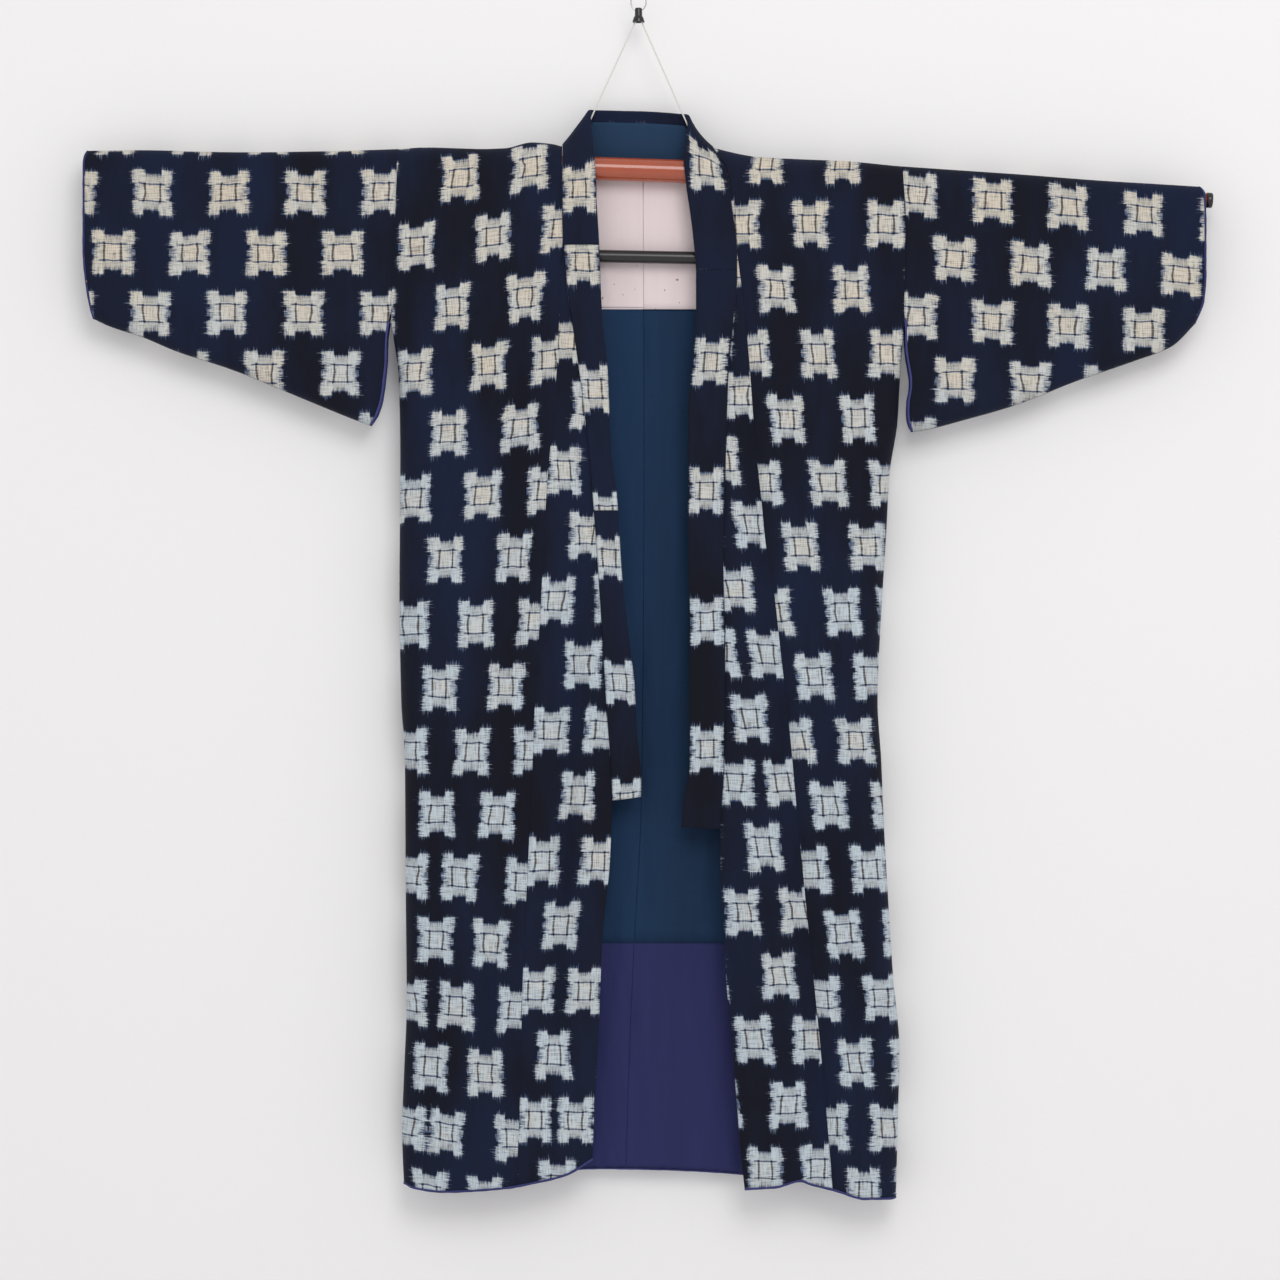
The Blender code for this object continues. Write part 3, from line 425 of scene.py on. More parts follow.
def front_line(half: int, drop: Array) -> Array:
    """x of the body front's inner edge: the band's seam, then the okumi's seam."""
    upper = smooth(BAND_SEAM[half], drop)
    return np.where(drop < OKUMI_TIP[half], upper, smooth(OKUMI_SEAM[half], drop))


def over(x: Array, turn: Array, inset: float) -> tuple[Array, Array]:
    """y and drop of the cloth over the hanger: half an ellipse from behind (0) to front (1).

    A lining, which has an inset, lies lower where the cloth stands high beside the neck.
    """
    angle = np.pi * turn
    depth = smooth(WRAP, x, 1) - inset
    rise = smooth(WRAP, x, 2) - inset
    if inset > 0:
        rise = rise - 0.16 * np.maximum(rise - 14.4, 0)
    return depth * np.cos(angle), axis_drop(x) - rise * np.sin(angle)


def points(x: Array, y: Array, drop: Array) -> Array:
    """Places in metres from millimetres."""
    x, y, drop = np.broadcast_arrays(x, y, drop)
    return np.stack([x, y, -drop], axis=-1) * MM


def seam_dip(distance: Array) -> Array:
    """How far the cloth sinks into a seam: 0.9 mm, gone within about 6 mm."""
    return 0.9 * np.exp(-((distance / 3.0) ** 2))


def slant(x: Array, drop: Array) -> Array:
    """Sideways wander of the motifs in millimetres, so that each leans and bends a little."""
    return 1.5 * rumple(x, drop, 90, 70, 41) + 0.7 * rumple(x, drop, 50, 22, 42)


def column_distance(lines: Sequence[Table], x: Array, drop: Array, out: int) -> Array:
    """Distance in millimetres to the nearest even and the nearest odd column of motifs.

    The hanging cloth is drawn in a little by its fine folds, so 1 mm of the
    front counts as 1.08 mm of flat cloth.

    Args:
        lines: one table of (drop, x) for each half column, even ones first.
        x: places across.
        drop: places down.
        out: 1 or -1, the way in which the last line's columns go on beyond it.
            The first line's go on the other way.
    """
    level = [smooth(line, drop) for line in lines]
    count = len(level)
    x = x + slant(x, drop)
    nearest = []
    for odd in (0, 1):
        own = [level[k] for k in range(odd, count, 2)]
        for beyond in range(1, 5):
            if (count - 1 + beyond) % 2 == odd:
                own.append(level[-1] + out * beyond * HALF_COLUMN)
            if beyond % 2 == odd:
                own.append(level[0] - out * beyond * HALF_COLUMN)
        nearest.append(np.min([np.abs(x - line) for line in own], axis=0))
    return np.stack(nearest, axis=-1) * 1.08


def even_distance(count: Array, pitch: float) -> Array:
    """The same two distances where half columns lie pitch millimetres apart."""
    return np.stack([np.abs(count - 2 * np.round(count / 2)) * pitch,
                     np.abs(count - 1 - 2 * np.round((count - 1) / 2)) * pitch], axis=-1)


def motif_map(columns: Array, rows: Array) -> Array:
    """Three numbers for the cloth: both column distances, and the count of half rows."""
    rows = np.broadcast_to(rows, columns.shape[:-1])
    return np.concatenate([columns, rows[..., None]], axis=-1)


# Meshes


def unit_normals(places: Array) -> Array:
    """Cross product of a grid's two gradients, at length 1."""
    along = np.gradient(places, axis=0)
    across = np.gradient(places, axis=1)
    normal = np.cross(along, across)
    return normal / np.maximum(np.linalg.norm(normal, axis=-1, keepdims=True), 1e-12)


def grid_faces(rows: int, columns: int, round_it: bool) -> Array:
    """Corner numbers of a grid's faces; round_it joins the last column to the first."""
    last = columns if round_it else columns - 1
    row, column = np.meshgrid(np.arange(rows - 1), np.arange(last), indexing="ij")
    beside = (column + 1) % columns
    first = row * columns
    corners = [first + column, first + beside, first + columns + beside, first + columns + column]
    return np.stack(corners, axis=-1).reshape(-1, 4)


def make_mesh(name: str, corners: Array, faces: list[list[int]],
              uv: Array | None = None) -> bpy.types.Object:
    """A smooth mesh object from arrays, linked to the scene.

    Args:
        name: the piece's name.
        corners: places in metres, one row each.
        faces: corner numbers of each face.
        uv: two numbers for each corner, kept in the map "Cloth", and perhaps a
            third, kept in the map "Rows".
    """
    mesh = bpy.data.meshes.new(name)
    mesh.from_pydata(corners.tolist(), [], faces)
    if uv is not None:
        numbers = np.zeros(len(mesh.loops), dtype=np.int32)
        mesh.loops.foreach_get("vertex_index", numbers)
        maps = {"Cloth": uv[:, :2]}
        if uv.shape[1] > 2:
            maps["Rows"] = np.stack([uv[:, 2], uv[:, 2]], axis=-1)
        for title, pairs in maps.items():
            layer = mesh.uv_layers.new(name=title)
            layer.data.foreach_set("uv", pairs[numbers].astype(np.float32).ravel())
    mesh.shade_smooth()
    made = bpy.data.objects.new(name, mesh)
    bpy.context.scene.collection.objects.link(made)
    return made


def cloth_mesh(name: str, places: Array, uv: Array, round_it: bool = False) -> bpy.types.Object:
    """An open sheet whose faces look away from the hanger's plane."""
    faces = grid_faces(places.shape[0], places.shape[1], round_it)
    normal = unit_normals(places)
    if (normal[..., 1] * places[..., 1]).sum() > 0:
        faces = faces[:, ::-1]
    return make_mesh(name, places.reshape(-1, 3), faces.tolist(), uv.reshape(-1, uv.shape[-1]))


def wall(piece: bpy.types.Object, thickness: float, inner: int = 0, rim: int = 0) -> None:
    """Give a sheet its wall, half on each side, with the finish numbers of its inside and rim."""
    shell = piece.modifiers.new("Wall", "SOLIDIFY")
    shell.thickness = thickness * MM
    shell.offset = 0.0
    shell.use_rim = True
    shell.material_offset = inner
    shell.material_offset_rim = rim


def slab_mesh(name: str, places: Array, uv: Array, thickness: float) -> bpy.types.Object:
    """A closed padded strip with rounded long edges.

    The strip's middle surface is moved out and in by half the thickness times
    the square root of 1 - c^2, where c runs from 0 to 1 over the last 3 mm
    before each long edge. Its two short ends are closed.
    """
    rows, columns = places.shape[:2]
    width = np.linalg.norm(places[:, -1] - places[:, 0], axis=-1)[:, None]
    share = np.linspace(0, 1, columns)[None]
    share = 0.5 - 0.5 * np.sign(0.5 - share) * np.abs(1 - 2 * share) ** 0.6
    places = resample_across(places, share[0])
    uv = resample_across(uv, share[0])
    edge = np.minimum(share, 1 - share) * width / (3.0 * MM)
    half = thickness * MM / 2 * np.sqrt(1 - (1 - np.clip(edge, 0, 1)) ** 2)
    normal = unit_normals(places)
    outer = places + normal * half[..., None]
    inner = places - normal * half[..., None]
    ring = np.concatenate([outer, inner[:, -2:0:-1]], axis=1)
    ring_uv = np.concatenate([uv, uv[:, -2:0:-1]], axis=1)
    around = ring.shape[1]
    cap = np.arange(columns - 1)
    back = (around - cap) % around
    next_back = (around - cap - 1) % around
    first = np.stack([cap, back, next_back, cap + 1], axis=-1)
    last = first[:, ::-1] + (rows - 1) * around
    faces = np.concatenate([grid_faces(rows, around, True), first, last]).tolist()
    made = make_mesh(name, ring.reshape(-1, 3), faces, ring_uv.reshape(-1, uv.shape[-1]))
    tidy_mesh(made, 1e-7)
    return made


def resample_across(values: Array, share: Array) -> Array:
    """Rows read again at the given shares of the way across, in straight lines."""
    place = share * (values.shape[1] - 1)
    low = np.clip(place.astype(int), 0, values.shape[1] - 2)
    part = (place - low)[None, :, None]
    return values[:, low] * (1 - part) + values[:, low + 1] * part


def tidy_mesh(piece: bpy.types.Object, reach: float) -> None:
    """Merge doubled corners and turn every face of a closed mesh outwards."""
    work = bmesh.new()
    work.from_mesh(piece.data)
    bmesh.ops.remove_doubles(work, verts=work.verts, dist=reach)
    bmesh.ops.recalc_face_normals(work, faces=work.faces)
    work.to_mesh(piece.data)
    work.free()


def swept_mesh(name: str, path: Array, ring: Callable[[Array, Array], Array], around: int,
               closed: bool = False) -> bpy.types.Object:
    """A tube along a path.

    Each ring lies square to the path, on a side vector kept near +Y, and its
    corners are centre + r * (cos(angle) * side + sin(angle) * up).

    Args:
        name: the piece's name.
        path: places in metres, in order.
        ring: radius in metres from the distance along and the angle, as arrays.
        around: corners of a ring.
        closed: whether the path's end meets its start.
    """
    if closed:
        ahead = np.roll(path, -1, axis=0) - np.roll(path, 1, axis=0)
    else:
        ahead = np.gradient(path, axis=0)
    ahead = ahead / np.linalg.norm(ahead, axis=1, keepdims=True)
    side = np.array([0.0, 1.0, 0.0]) - ahead * ahead[:, 1:2]
    side = side / np.linalg.norm(side, axis=1, keepdims=True)
    up = np.cross(ahead, side)
    step = np.linalg.norm(np.diff(path, axis=0), axis=1)
    along = np.concatenate([[0.0], np.cumsum(step)])[:, None]
    angle = np.linspace(0, 2 * np.pi, around, endpoint=False)[None]
    radius = ring(along, angle)[..., None]
    turn = np.cos(angle)[..., None] * side[:, None] + np.sin(angle)[..., None] * up[:, None]
    places = path[:, None] + radius * turn
    uv = np.stack(np.broadcast_arrays(along / MM, angle), axis=-1)
    faces = grid_faces(len(path), around, True).tolist()
    corners, uv = places.reshape(-1, 3), uv.reshape(-1, 2)
    rim = np.arange(around)
    last = (len(path) - 1) * around
    if closed:
        faces += np.stack([last + rim, np.roll(last + rim, -1), np.roll(rim, -1), rim], axis=-1).tolist()
    else:
        centre = len(corners)
        corners = np.concatenate([corners, path[:1], path[-1:]])
        uv = np.concatenate([uv, uv[:1], uv[-1:]])
        for hub, edge in ((centre, rim), (centre + 1, last + rim)):
            faces += np.stack([np.full(around, hub), edge, np.roll(edge, -1)], axis=-1).tolist()
    made = make_mesh(name, corners, faces, uv)
    tidy_mesh(made, MERGE_REACH)
    return made


def turned_mesh(name: str, start: Array, end: Array, profile: Table, around: int) -> bpy.types.Object:
    """A turned part: the profile's radius is spun round the line from start to end.

    Args:
        name: the piece's name.
        start: place of the line's start in millimetres.
        end: a place further along it.
        profile: distance along and radius in millimetres.
        around: corners of each ring.
    """
    start, end = np.asarray(start, float), np.asarray(end, float)
    ahead = (end - start) / np.linalg.norm(end - start)
    side = np.array([0.0, 1.0, 0.0]) if abs(ahead[1]) < 0.9 else np.array([1.0, 0.0, 0.0])
    side = side - ahead * (side @ ahead)
    side = side / np.linalg.norm(side)
    up = np.cross(ahead, side)
    rows = np.asarray(profile, float)
    angle = np.linspace(0, 2 * np.pi, around, endpoint=False)
    turn = np.cos(angle)[:, None] * side + np.sin(angle)[:, None] * up
    places = start + rows[:, :1, None] * ahead + rows[:, 1:, None] * turn[None]
    uv = np.stack(np.broadcast_arrays(rows[:, :1], angle[None]), axis=-1)
    faces = grid_faces(len(rows), around, True).tolist()
    made = make_mesh(name, places.reshape(-1, 3) * MM, faces, uv.reshape(-1, 2))
    tidy_mesh(made, MERGE_REACH)
    return made


# Finishes


class Signal:
    """A number, colour or vector in a material. Numbers add, subtract and multiply."""

    def __init__(self, shader: "Shader", socket: bpy.types.NodeSocket) -> None:
        """Keep the node's output and the shader that it is in."""
        self.shader = shader
        self.socket = socket

    def __add__(self, other: "Value") -> "Signal":
        """Sum."""
        return self.shader.maths("ADD", self, other)

    def __sub__(self, other: "Value") -> "Signal":
        """Difference."""
        return self.shader.maths("SUBTRACT", self, other)

    def __rsub__(self, other: float) -> "Signal":
        """Difference from a plain number."""
        return self.shader.maths("SUBTRACT", other, self)

    def __mul__(self, other: "Value") -> "Signal":
        """Product."""
        return self.shader.maths("MULTIPLY", self, other)

    def step(self, limit: float, soft: float) -> "Signal":
        """0 to 1 as the number goes from limit - soft to limit + soft, eased."""
        node = self.shader.node("MapRange")
        node.interpolation_type = "SMOOTHSTEP"
        self.shader.put(self, node.inputs["Value"])
        node.inputs["From Min"].default_value = limit - soft
        node.inputs["From Max"].default_value = limit + soft
        return Signal(self.shader, node.outputs["Result"])

    def above(self, limit: float, soft: float) -> "Signal":
        """The same step, on the distance past the limit."""
        return (self - limit).step(0.0, soft)

    def below(self, limit: float, soft: float) -> "Signal":
        """1 to 0 as the number goes from limit - soft to limit + soft."""
        return (limit - self).step(0.0, soft)


Value = Union[float, Colour, Signal]


class Shader:
    """A material's nodes, with one short call for each kind that the finishes use."""

    def __init__(self, name: str) -> None:
        """Make an empty material with a Principled BSDF."""
        self.material = bpy.data.materials.new(name)
        self.material.use_nodes = True
        self.tree = self.material.node_tree
        self.surface = self.tree.nodes["Principled BSDF"]

    def node(self, kind: str) -> bpy.types.Node:
        """A new node of a kind."""
        return self.tree.nodes.new("ShaderNode" + kind)

    def put(self, value: Value, socket: bpy.types.NodeSocket) -> None:
        """Link a signal, or set a number or colour on the socket."""
        if isinstance(value, Signal):
            self.tree.links.new(value.socket, socket)
        else:
            socket.default_value = rgba(value) if isinstance(value, tuple) else value

    def dress(self, inputs: dict[str, Value]) -> bpy.types.Material:
        """Put values on the surface's inputs by name, and give back the material."""
        for name, value in inputs.items():
            self.put(value, self.surface.inputs[name])
        return self.material

    def maths(self, operation: str, *values: Value, clamp: bool = False) -> Signal:
        """One Math node."""
        node = self.node("Math")
        node.operation = operation
        node.use_clamp = clamp
        for value, socket in zip(values, node.inputs):
            self.put(value, socket)
        return Signal(self, node.outputs[0])

    def vector(self, x: Value, y: Value, z: Value = 0.0) -> Signal:
        """Three numbers as a vector."""
        node = self.node("CombineXYZ")
        for value, socket in zip((x, y, z), node.inputs):
            self.put(value, socket)
        return Signal(self, node.outputs[0])

    def apart(self, vector: Signal) -> list[Signal]:
        """A vector's three numbers."""
        node = self.node("SeparateXYZ")
        self.put(vector, node.inputs[0])
        return [Signal(self, output) for output in node.outputs]

    def place(self) -> Signal:
        """The place on the piece, in metres."""
        return Signal(self, self.node("TexCoord").outputs["Object"])

    def own_map(self, title: str) -> Signal:
        """One of the piece's own maps."""
        node = self.node("UVMap")
        node.uv_map = title
        return Signal(self, node.outputs[0])

    def stretched(self, vector: Signal, scale: tuple[float, float, float]) -> Signal:
        """A vector whose parts are multiplied."""
        node = self.node("VectorMath")
        node.operation = "MULTIPLY"
        self.put(vector, node.inputs[0])
        node.inputs[1].default_value = scale
        return Signal(self, node.outputs[0])

    def noise(self, vector: Signal, scale: float | tuple[float, float, float],
              detail: float = 2.0, rough: float = 0.5) -> Signal:
        """Noise from 0 to 1 about 0.5, at one scale or at one for each direction."""
        if isinstance(scale, tuple):
            vector, scale = self.stretched(vector, scale), 1.0
        node = self.node("TexNoise")
        self.put(vector, node.inputs["Vector"])
        node.inputs["Scale"].default_value = scale
        node.inputs["Detail"].default_value = detail
        node.inputs["Roughness"].default_value = rough
        return Signal(self, node.outputs["Fac"])

    def mixed(self, share: Value, first: Value, second: Value) -> Signal:
        """Two colours mixed."""
        node = self.node("Mix")
        node.data_type = "RGBA"
        for value, socket in ((share, 0), (first, 6), (second, 7)):
            self.put(value, node.inputs[socket])
        return Signal(self, node.outputs[2])

    def ramp(self, value: Signal, stops: Sequence[tuple[float, Colour]]) -> Signal:
        """A colour ramp through the stops."""
        node = self.node("ValToRGB")
        self.put(value, node.inputs[0])
        while len(node.color_ramp.elements) < len(stops):
            node.color_ramp.elements.new(0.5)
        for element, (place, colour) in zip(node.color_ramp.elements, stops):
            element.position = place
            element.color = rgba(colour)
        return Signal(self, node.outputs[0])

    def bump(self, height: Signal, distance: float, strength: float) -> None:
        """Raise the surface by the height, distance metres at 1."""
        node = self.node("Bump")
        node.inputs["Distance"].default_value = distance
        node.inputs["Strength"].default_value = strength
        self.put(height, node.inputs["Height"])
        self.tree.links.new(node.outputs[0], self.surface.inputs["Normal"])


def rgba(colour: Colour) -> tuple[float, float, float, float]:
    """A colour with full cover."""
    return (colour[0], colour[1], colour[2], 1.0)


def shade(colour: Colour, share: float) -> Colour:
    """A colour made darker, or lighter above a share of 1."""
    return tuple(share * part for part in colour)


@dataclass(frozen=True)
class Stripes:
    """Undyed stripes of one set of threads: a short middle one and one on each side.

    Attributes:
        gap: start and end of the dyed line between middle and side stripe.
        outer: outer edge of the side stripe.
        reach: half lengths of the middle and the side stripe.
        line_end: distance along the threads past which the line is undyed.
    """

    gap: tuple[float, float]
    outer: float
    reach: tuple[float, float]
    line_end: float

    def undyed(self, across: Signal, along: Signal, ends: Signal) -> Signal:
        """Share of undyed thread.

        Args:
            across: distance from the motif's middle across the threads.
            along: distance along them.
            ends: how far each thread's undyed part runs on or stops short.
        """
        start, end = self.gap
        line = across.above(start, 0.45) * across.below(end, 0.45) * along.below(self.line_end, 2.5)
        inside = across.below(0.5 * (start + end), 0.6)
        middle = inside * (self.reach[0] - along + ends).step(0.0, 0.9)
        side = (1.0 - inside) * (self.reach[1] - along + ends).step(0.0, 1.1)
        return (middle + side * across.below(self.outer, 0.7)) * (1.0 - line)


@dataclass(frozen=True)
class KasuriFinish:
    """Indigo cotton with resist-dyed warp and weft that meet in small crossed blocks.

    A motif has undyed warp in a short middle stripe and two longer side
    stripes, and undyed weft likewise. Where both are undyed the cloth is
    white, and where one is it is a mixed tone, which draws four thin crossed
    lines round the middle. Sizes are in millimetres on the flat cloth, noise
    scales in turns to a metre.

    Attributes:
        half_row: pitch of the half rows.
        squeeze: share of that pitch which a motif's drawing takes up.
        warp: stripes of the threads that run down the cloth, weft: across it.
        warp_fray: spread of the places where undyed warp ends, weft_fray likewise.
        swell: how far a motif's sides wander.
        tilt: how far a motif leans, and bend: how unevenly it does.
        weave_pitch: length of two threads.
    """

    name: str
    half_row: float = BAND_HALF_ROW
    squeeze: float = 0.935
    warp: Stripes = Stripes((7.0, 9.3), 21.2, (17.4, 24.4), 11.0)
    weft: Stripes = Stripes((8.2, 9.9), 23.6, (16.8, 20.2), 14.0)
    warp_fray: float = 34.0
    weft_fray: float = 44.0
    swell: float = 2.6
    tilt: float = 7.0
    bend: float = 3.0
    weave_pitch: float = 1.3
    dark: Colour = (0.0036, 0.0042, 0.0105)
    blue: Colour = (0.0062, 0.0115, 0.036)
    bleed: Colour = (0.045, 0.09, 0.19)
    half_tone: Colour = (0.15, 0.145, 0.16)
    cream: Colour = (0.70, 0.62, 0.51)
    warm: Colour = (0.67, 0.62, 0.52)
    cool: Colour = (0.54, 0.63, 0.70)
    worn: Colour = (0.27, 0.265, 0.255)
    line_brown: Colour = (0.085, 0.07, 0.066)

    def build(self) -> bpy.types.Material:
        """The finish as a material."""
        s = Shader(self.name)
        even, odd, _ = s.apart(s.own_map("Cloth"))
        count, _, _ = s.apart(s.own_map("Rows"))
        row = s.maths("ROUND", count)
        parity = s.maths("MODULO", s.maths("ABSOLUTE", row), 2.0)
        place = s.place()
        away_x = even + (odd - even) * parity + (s.noise(place, 70.0, 1.0) - 0.5) * self.swell
        y = (count - row) * (self.squeeze * self.half_row)
        y = y + (s.noise(place, 13.0, 1.0) - 0.5) * self.tilt
        y = y + (s.noise(place, (70.0, 0.0, 20.0), 1.0) - 0.5) * self.bend
        away_y = s.maths("ABSOLUTE", y)
        east, _, _ = s.apart(s.stretched(place, (1 / MM, 1 / MM, 1 / MM)))
        down = count * self.half_row
        streak_x = s.noise(s.vector(east * 0.9, down * 0.06), 1.0)
        streak_y = s.noise(s.vector(east * 0.06, down * 0.9), 1.0)
        end_key = s.vector(east * 0.8, row * 9.1 + s.maths("SIGN", y) * 5.3)
        ends = (s.noise(end_key, 1.0, 4.0, 0.85) - 0.5) * self.warp_fray
        warp = self.warp.undyed(away_x, away_y, ends)
        bite = away_x.above(18.4, 1.2) * away_y.below(9.0, 1.0) * away_y.above(3.6, 1.4)
        warp = warp * (1.0 - bite * 0.8) * (streak_x * 0.9 - 0.04)
        end_key = s.vector(down * 0.8, east * 0.045, 31.0)
        ends = (s.noise(end_key, 1.0, 4.0, 0.85) - 0.5) * self.weft_fray
        weft = self.weft.undyed(away_y, away_x, ends)
        notch = away_x.below(9.0, 1.2) * away_y.above(19.0, 1.5)
        weft = weft * (1.0 - notch * 0.9) * (streak_y * 0.9 + 0.04)
        white = s.maths("ADD", warp, weft, clamp=True)
        thread = (streak_x + streak_y) * 0.5
        undyed = self.undyed_tone(s, place, away_x, away_y, thread)
        stops = ((0.0, self.dark), (0.14, self.dark), (0.3, self.bleed), (0.52, self.half_tone))
        line = away_x.below(10.2, 0.6) * away_y.below(7.6, 0.8)
        tone = s.mixed(line, s.ramp(white, stops), self.line_brown)
        tone = s.mixed(white.step(0.68, 0.26), tone, undyed)
        patch = s.noise(place, (9.0, 9.0, 2.6), 4.0, 0.62).step(0.51, 0.17)
        ground = s.mixed(patch, self.dark, self.blue)
        turn = 2 * math.pi / self.weave_pitch
        weave = s.maths("SINE", east * turn) * s.maths("SINE", down * turn)
        slub = s.noise(s.vector(east, down), 0.55, 3.0, 0.6)
        crease = s.noise(place, (34.0, 34.0, 12.0), 4.0, 0.6)
        s.bump(weave * 0.3 + slub + crease * 6.0, 0.0005, 0.8)
        return s.dress({
            "Base Color": s.mixed(white.step(0.12, 0.06), ground, tone),
            "Roughness": 0.88, "Specular IOR Level": 0.2, "Sheen Weight": 0.05,
            "Sheen Roughness": 0.45, "Sheen Tint": (0.45, 0.5, 0.7),
        })

    def undyed_tone(self, s: Shader, place: Signal, away_x: Signal, away_y: Signal,
                    thread: Signal) -> Signal:
        """Colour of undyed cloth: warm high up and in old patches, cream in the middle, worn."""
        _, _, height = s.apart(place)
        old = s.noise(place, 9.0, 5.0, 0.75) - 0.5
        warmth = s.maths("ADD", height.step(-0.45, 0.40), old * 2.0, clamp=True)
        core = away_x.below(8.2, 1.5) * away_y.below(9.0, 1.5) * (warmth * 0.85 + 0.08)
        tone = s.mixed(core, s.mixed(warmth, self.cool, self.warm), self.cream)
        band = away_x.below(8.0, 1.0) * away_y.above(10.5, 1.0)
        return s.mixed(thread.below(0.5, 0.16) * 0.36 + band * 0.28, tone, self.worn)


@dataclass(frozen=True)
class LiningFinish:
    """Thin cotton lining: pink at the top, then teal, then violet, or one of them."""

    name: str
    pink: Colour = (0.84, 0.72, 0.735)
    teal: Colour = (0.0042, 0.0185, 0.05)
    violet: Colour = (0.0165, 0.0185, 0.078)
    speck: Colour = (0.28, 0.16, 0.10)
    sharp: float = 0.0004

    def build(self) -> bpy.types.Material:
        """The finish as a material."""
        s = Shader(self.name)
        place = s.place()
        _, _, height = s.apart(place)
        drop = height * -1.0
        lower = drop.step(TEAL_BOTTOM * MM, self.sharp)
        upper = height.step(-(PINK_BOTTOM[1] - 1.2) * MM, self.sharp)
        cloud = s.noise(place, (15.0, 15.0, 1.6), 4.0, 0.6).step(0.5, 0.22)
        weft = s.noise(place, (60.0, 60.0, 1400.0), 1.0).step(0.62, 0.1)
        faded = s.mixed(lower, shade(self.teal, 1.9), shade(self.violet, 1.5))
        colour = s.mixed(cloud * 0.7, s.mixed(lower, self.teal, self.violet), faded)
        colour = s.mixed(weft * 0.25, colour, faded)
        dots = s.noise(place, 190.0, 1.0, 0.4).step(0.75, 0.02) * drop.step(0.30, 0.02)
        pink = s.mixed(cloud * 0.5, self.pink, shade(self.pink, 0.82))
        pink = s.mixed(dots, pink, self.speck)
        s.bump(s.noise(place, (26.0, 26.0, 7.0), 4.0, 0.62), 0.0035, 0.5)
        return s.dress({
            "Base Color": s.mixed(upper, colour, pink), "Roughness": 0.75,
            "Specular IOR Level": 0.2, "Sheen Weight": 0.04, "Sheen Roughness": 0.4,
        })


@dataclass(frozen=True)
class PlainFinish:
    """A moulded, painted or metal surface with faint wear in its gloss."""

    name: str
    colour: Colour
    roughness: float
    metallic: float = 0.0
    coat: float = 0.0
    grain: float = 0.06

    def build(self) -> bpy.types.Material:
        """The finish as a material."""
        s = Shader(self.name)
        place = s.place()
        cloud = s.noise(place, 60.0, 4.0, 0.6)
        scuffs = s.noise(place, (400.0, 900.0, 900.0), 3.0, 0.6)
        return s.dress({
            "Base Color": s.mixed(cloud, shade(self.colour, 0.8), self.colour),
            "Roughness": scuffs * (2 * self.grain) + (self.roughness - self.grain),
            "Metallic": self.metallic, "Coat Weight": self.coat, "Coat Roughness": 0.08,
        })


@dataclass(frozen=True)
class CordFinish:
    """White twisted cotton cord, with painted shade darkening the grooves between its strands."""

    name: str
    colour: Colour = (0.78, 0.77, 0.73)

    def build(self) -> bpy.types.Material:
        """The finish as a material."""
        s = Shader(self.name)
        along, angle, _ = s.apart(s.own_map("Cloth"))
        lay = along * (2 * math.pi / CORD_LAY) - angle
        # painted shade: the mask is 1 on the strands and 0 in the grooves between them, where the colour
        # is darkened
        strand_lit = s.maths("ABSOLUTE", s.maths("SINE", lay * (CORD_STRANDS / 2))).step(0.4, 0.4)
        s.bump(s.noise(s.place(), 2500.0), 0.0002, 0.7)
        # the groove colour, 0.55 of the cord's own, is painted shade
        return s.dress({
            "Base Color": s.mixed(strand_lit, shade(self.colour, 0.55), self.colour),
            "Roughness": 0.85, "Sheen Weight": 0.2,
        })


class Finishes:
    """Every material of the part, made once."""

    def __init__(self) -> None:
        """Build them all."""
        self.kasuri = KasuriFinish("indigo_kasuri").build()
        self.lining = LiningFinish("lining").build()
        roll = (0.03, 0.034, 0.12)
        self.fuki = LiningFinish("lining_roll", pink=roll, teal=roll, violet=roll).build()
        self.tube = PlainFinish("orange_brown_tube", (0.40, 0.068, 0.02), 0.14, coat=0.6).build()
        self.rod = PlainFinish("red_brown_rod", (0.24, 0.045, 0.03), 0.2, coat=0.5).build()
        self.black = PlainFinish("black_trim", (0.012, 0.012, 0.013), 0.22).build()
        self.steel = PlainFinish("steel_ring", (0.6, 0.6, 0.62), 0.25, metallic=1.0).build()
        self.cord = CordFinish("white_cord").build()


def seat(piece: bpy.types.Object, materials: Sequence[bpy.types.Material], slot: str,
         *nodes: str) -> bpy.types.Object:
    """Dress a piece, ride it on the part and hide the solids that it stands for.

    Args:
        piece: the finished piece.
        materials: its finishes in the order of its face numbers.
        slot: the record's material slot; not used.
        nodes: the solids that it stands for.
    """
    for material in materials:
        piece.data.materials.append(material)
    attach(piece, "root")
    if nodes:
        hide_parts(*nodes)
    LOG.info("%s: %d faces", piece.name, len(piece.data.polygons))
    return piece


# The garment


def round_shares(width: float, count: int, turn: int) -> Array:
    """Shares across a panel: near the seam close, then even, then evenly round the side's turn."""
    seam = np.array(SEAM_COLUMNS) / width
    flat = np.linspace(EVEN_FROM / width, 1 - SIDE_ROUND / width, count)
    angle = np.linspace(0, np.pi / 2, turn + 1)[1:]
    return np.concatenate([seam, flat, 1 - SIDE_ROUND / width * (1 - np.sin(angle))])


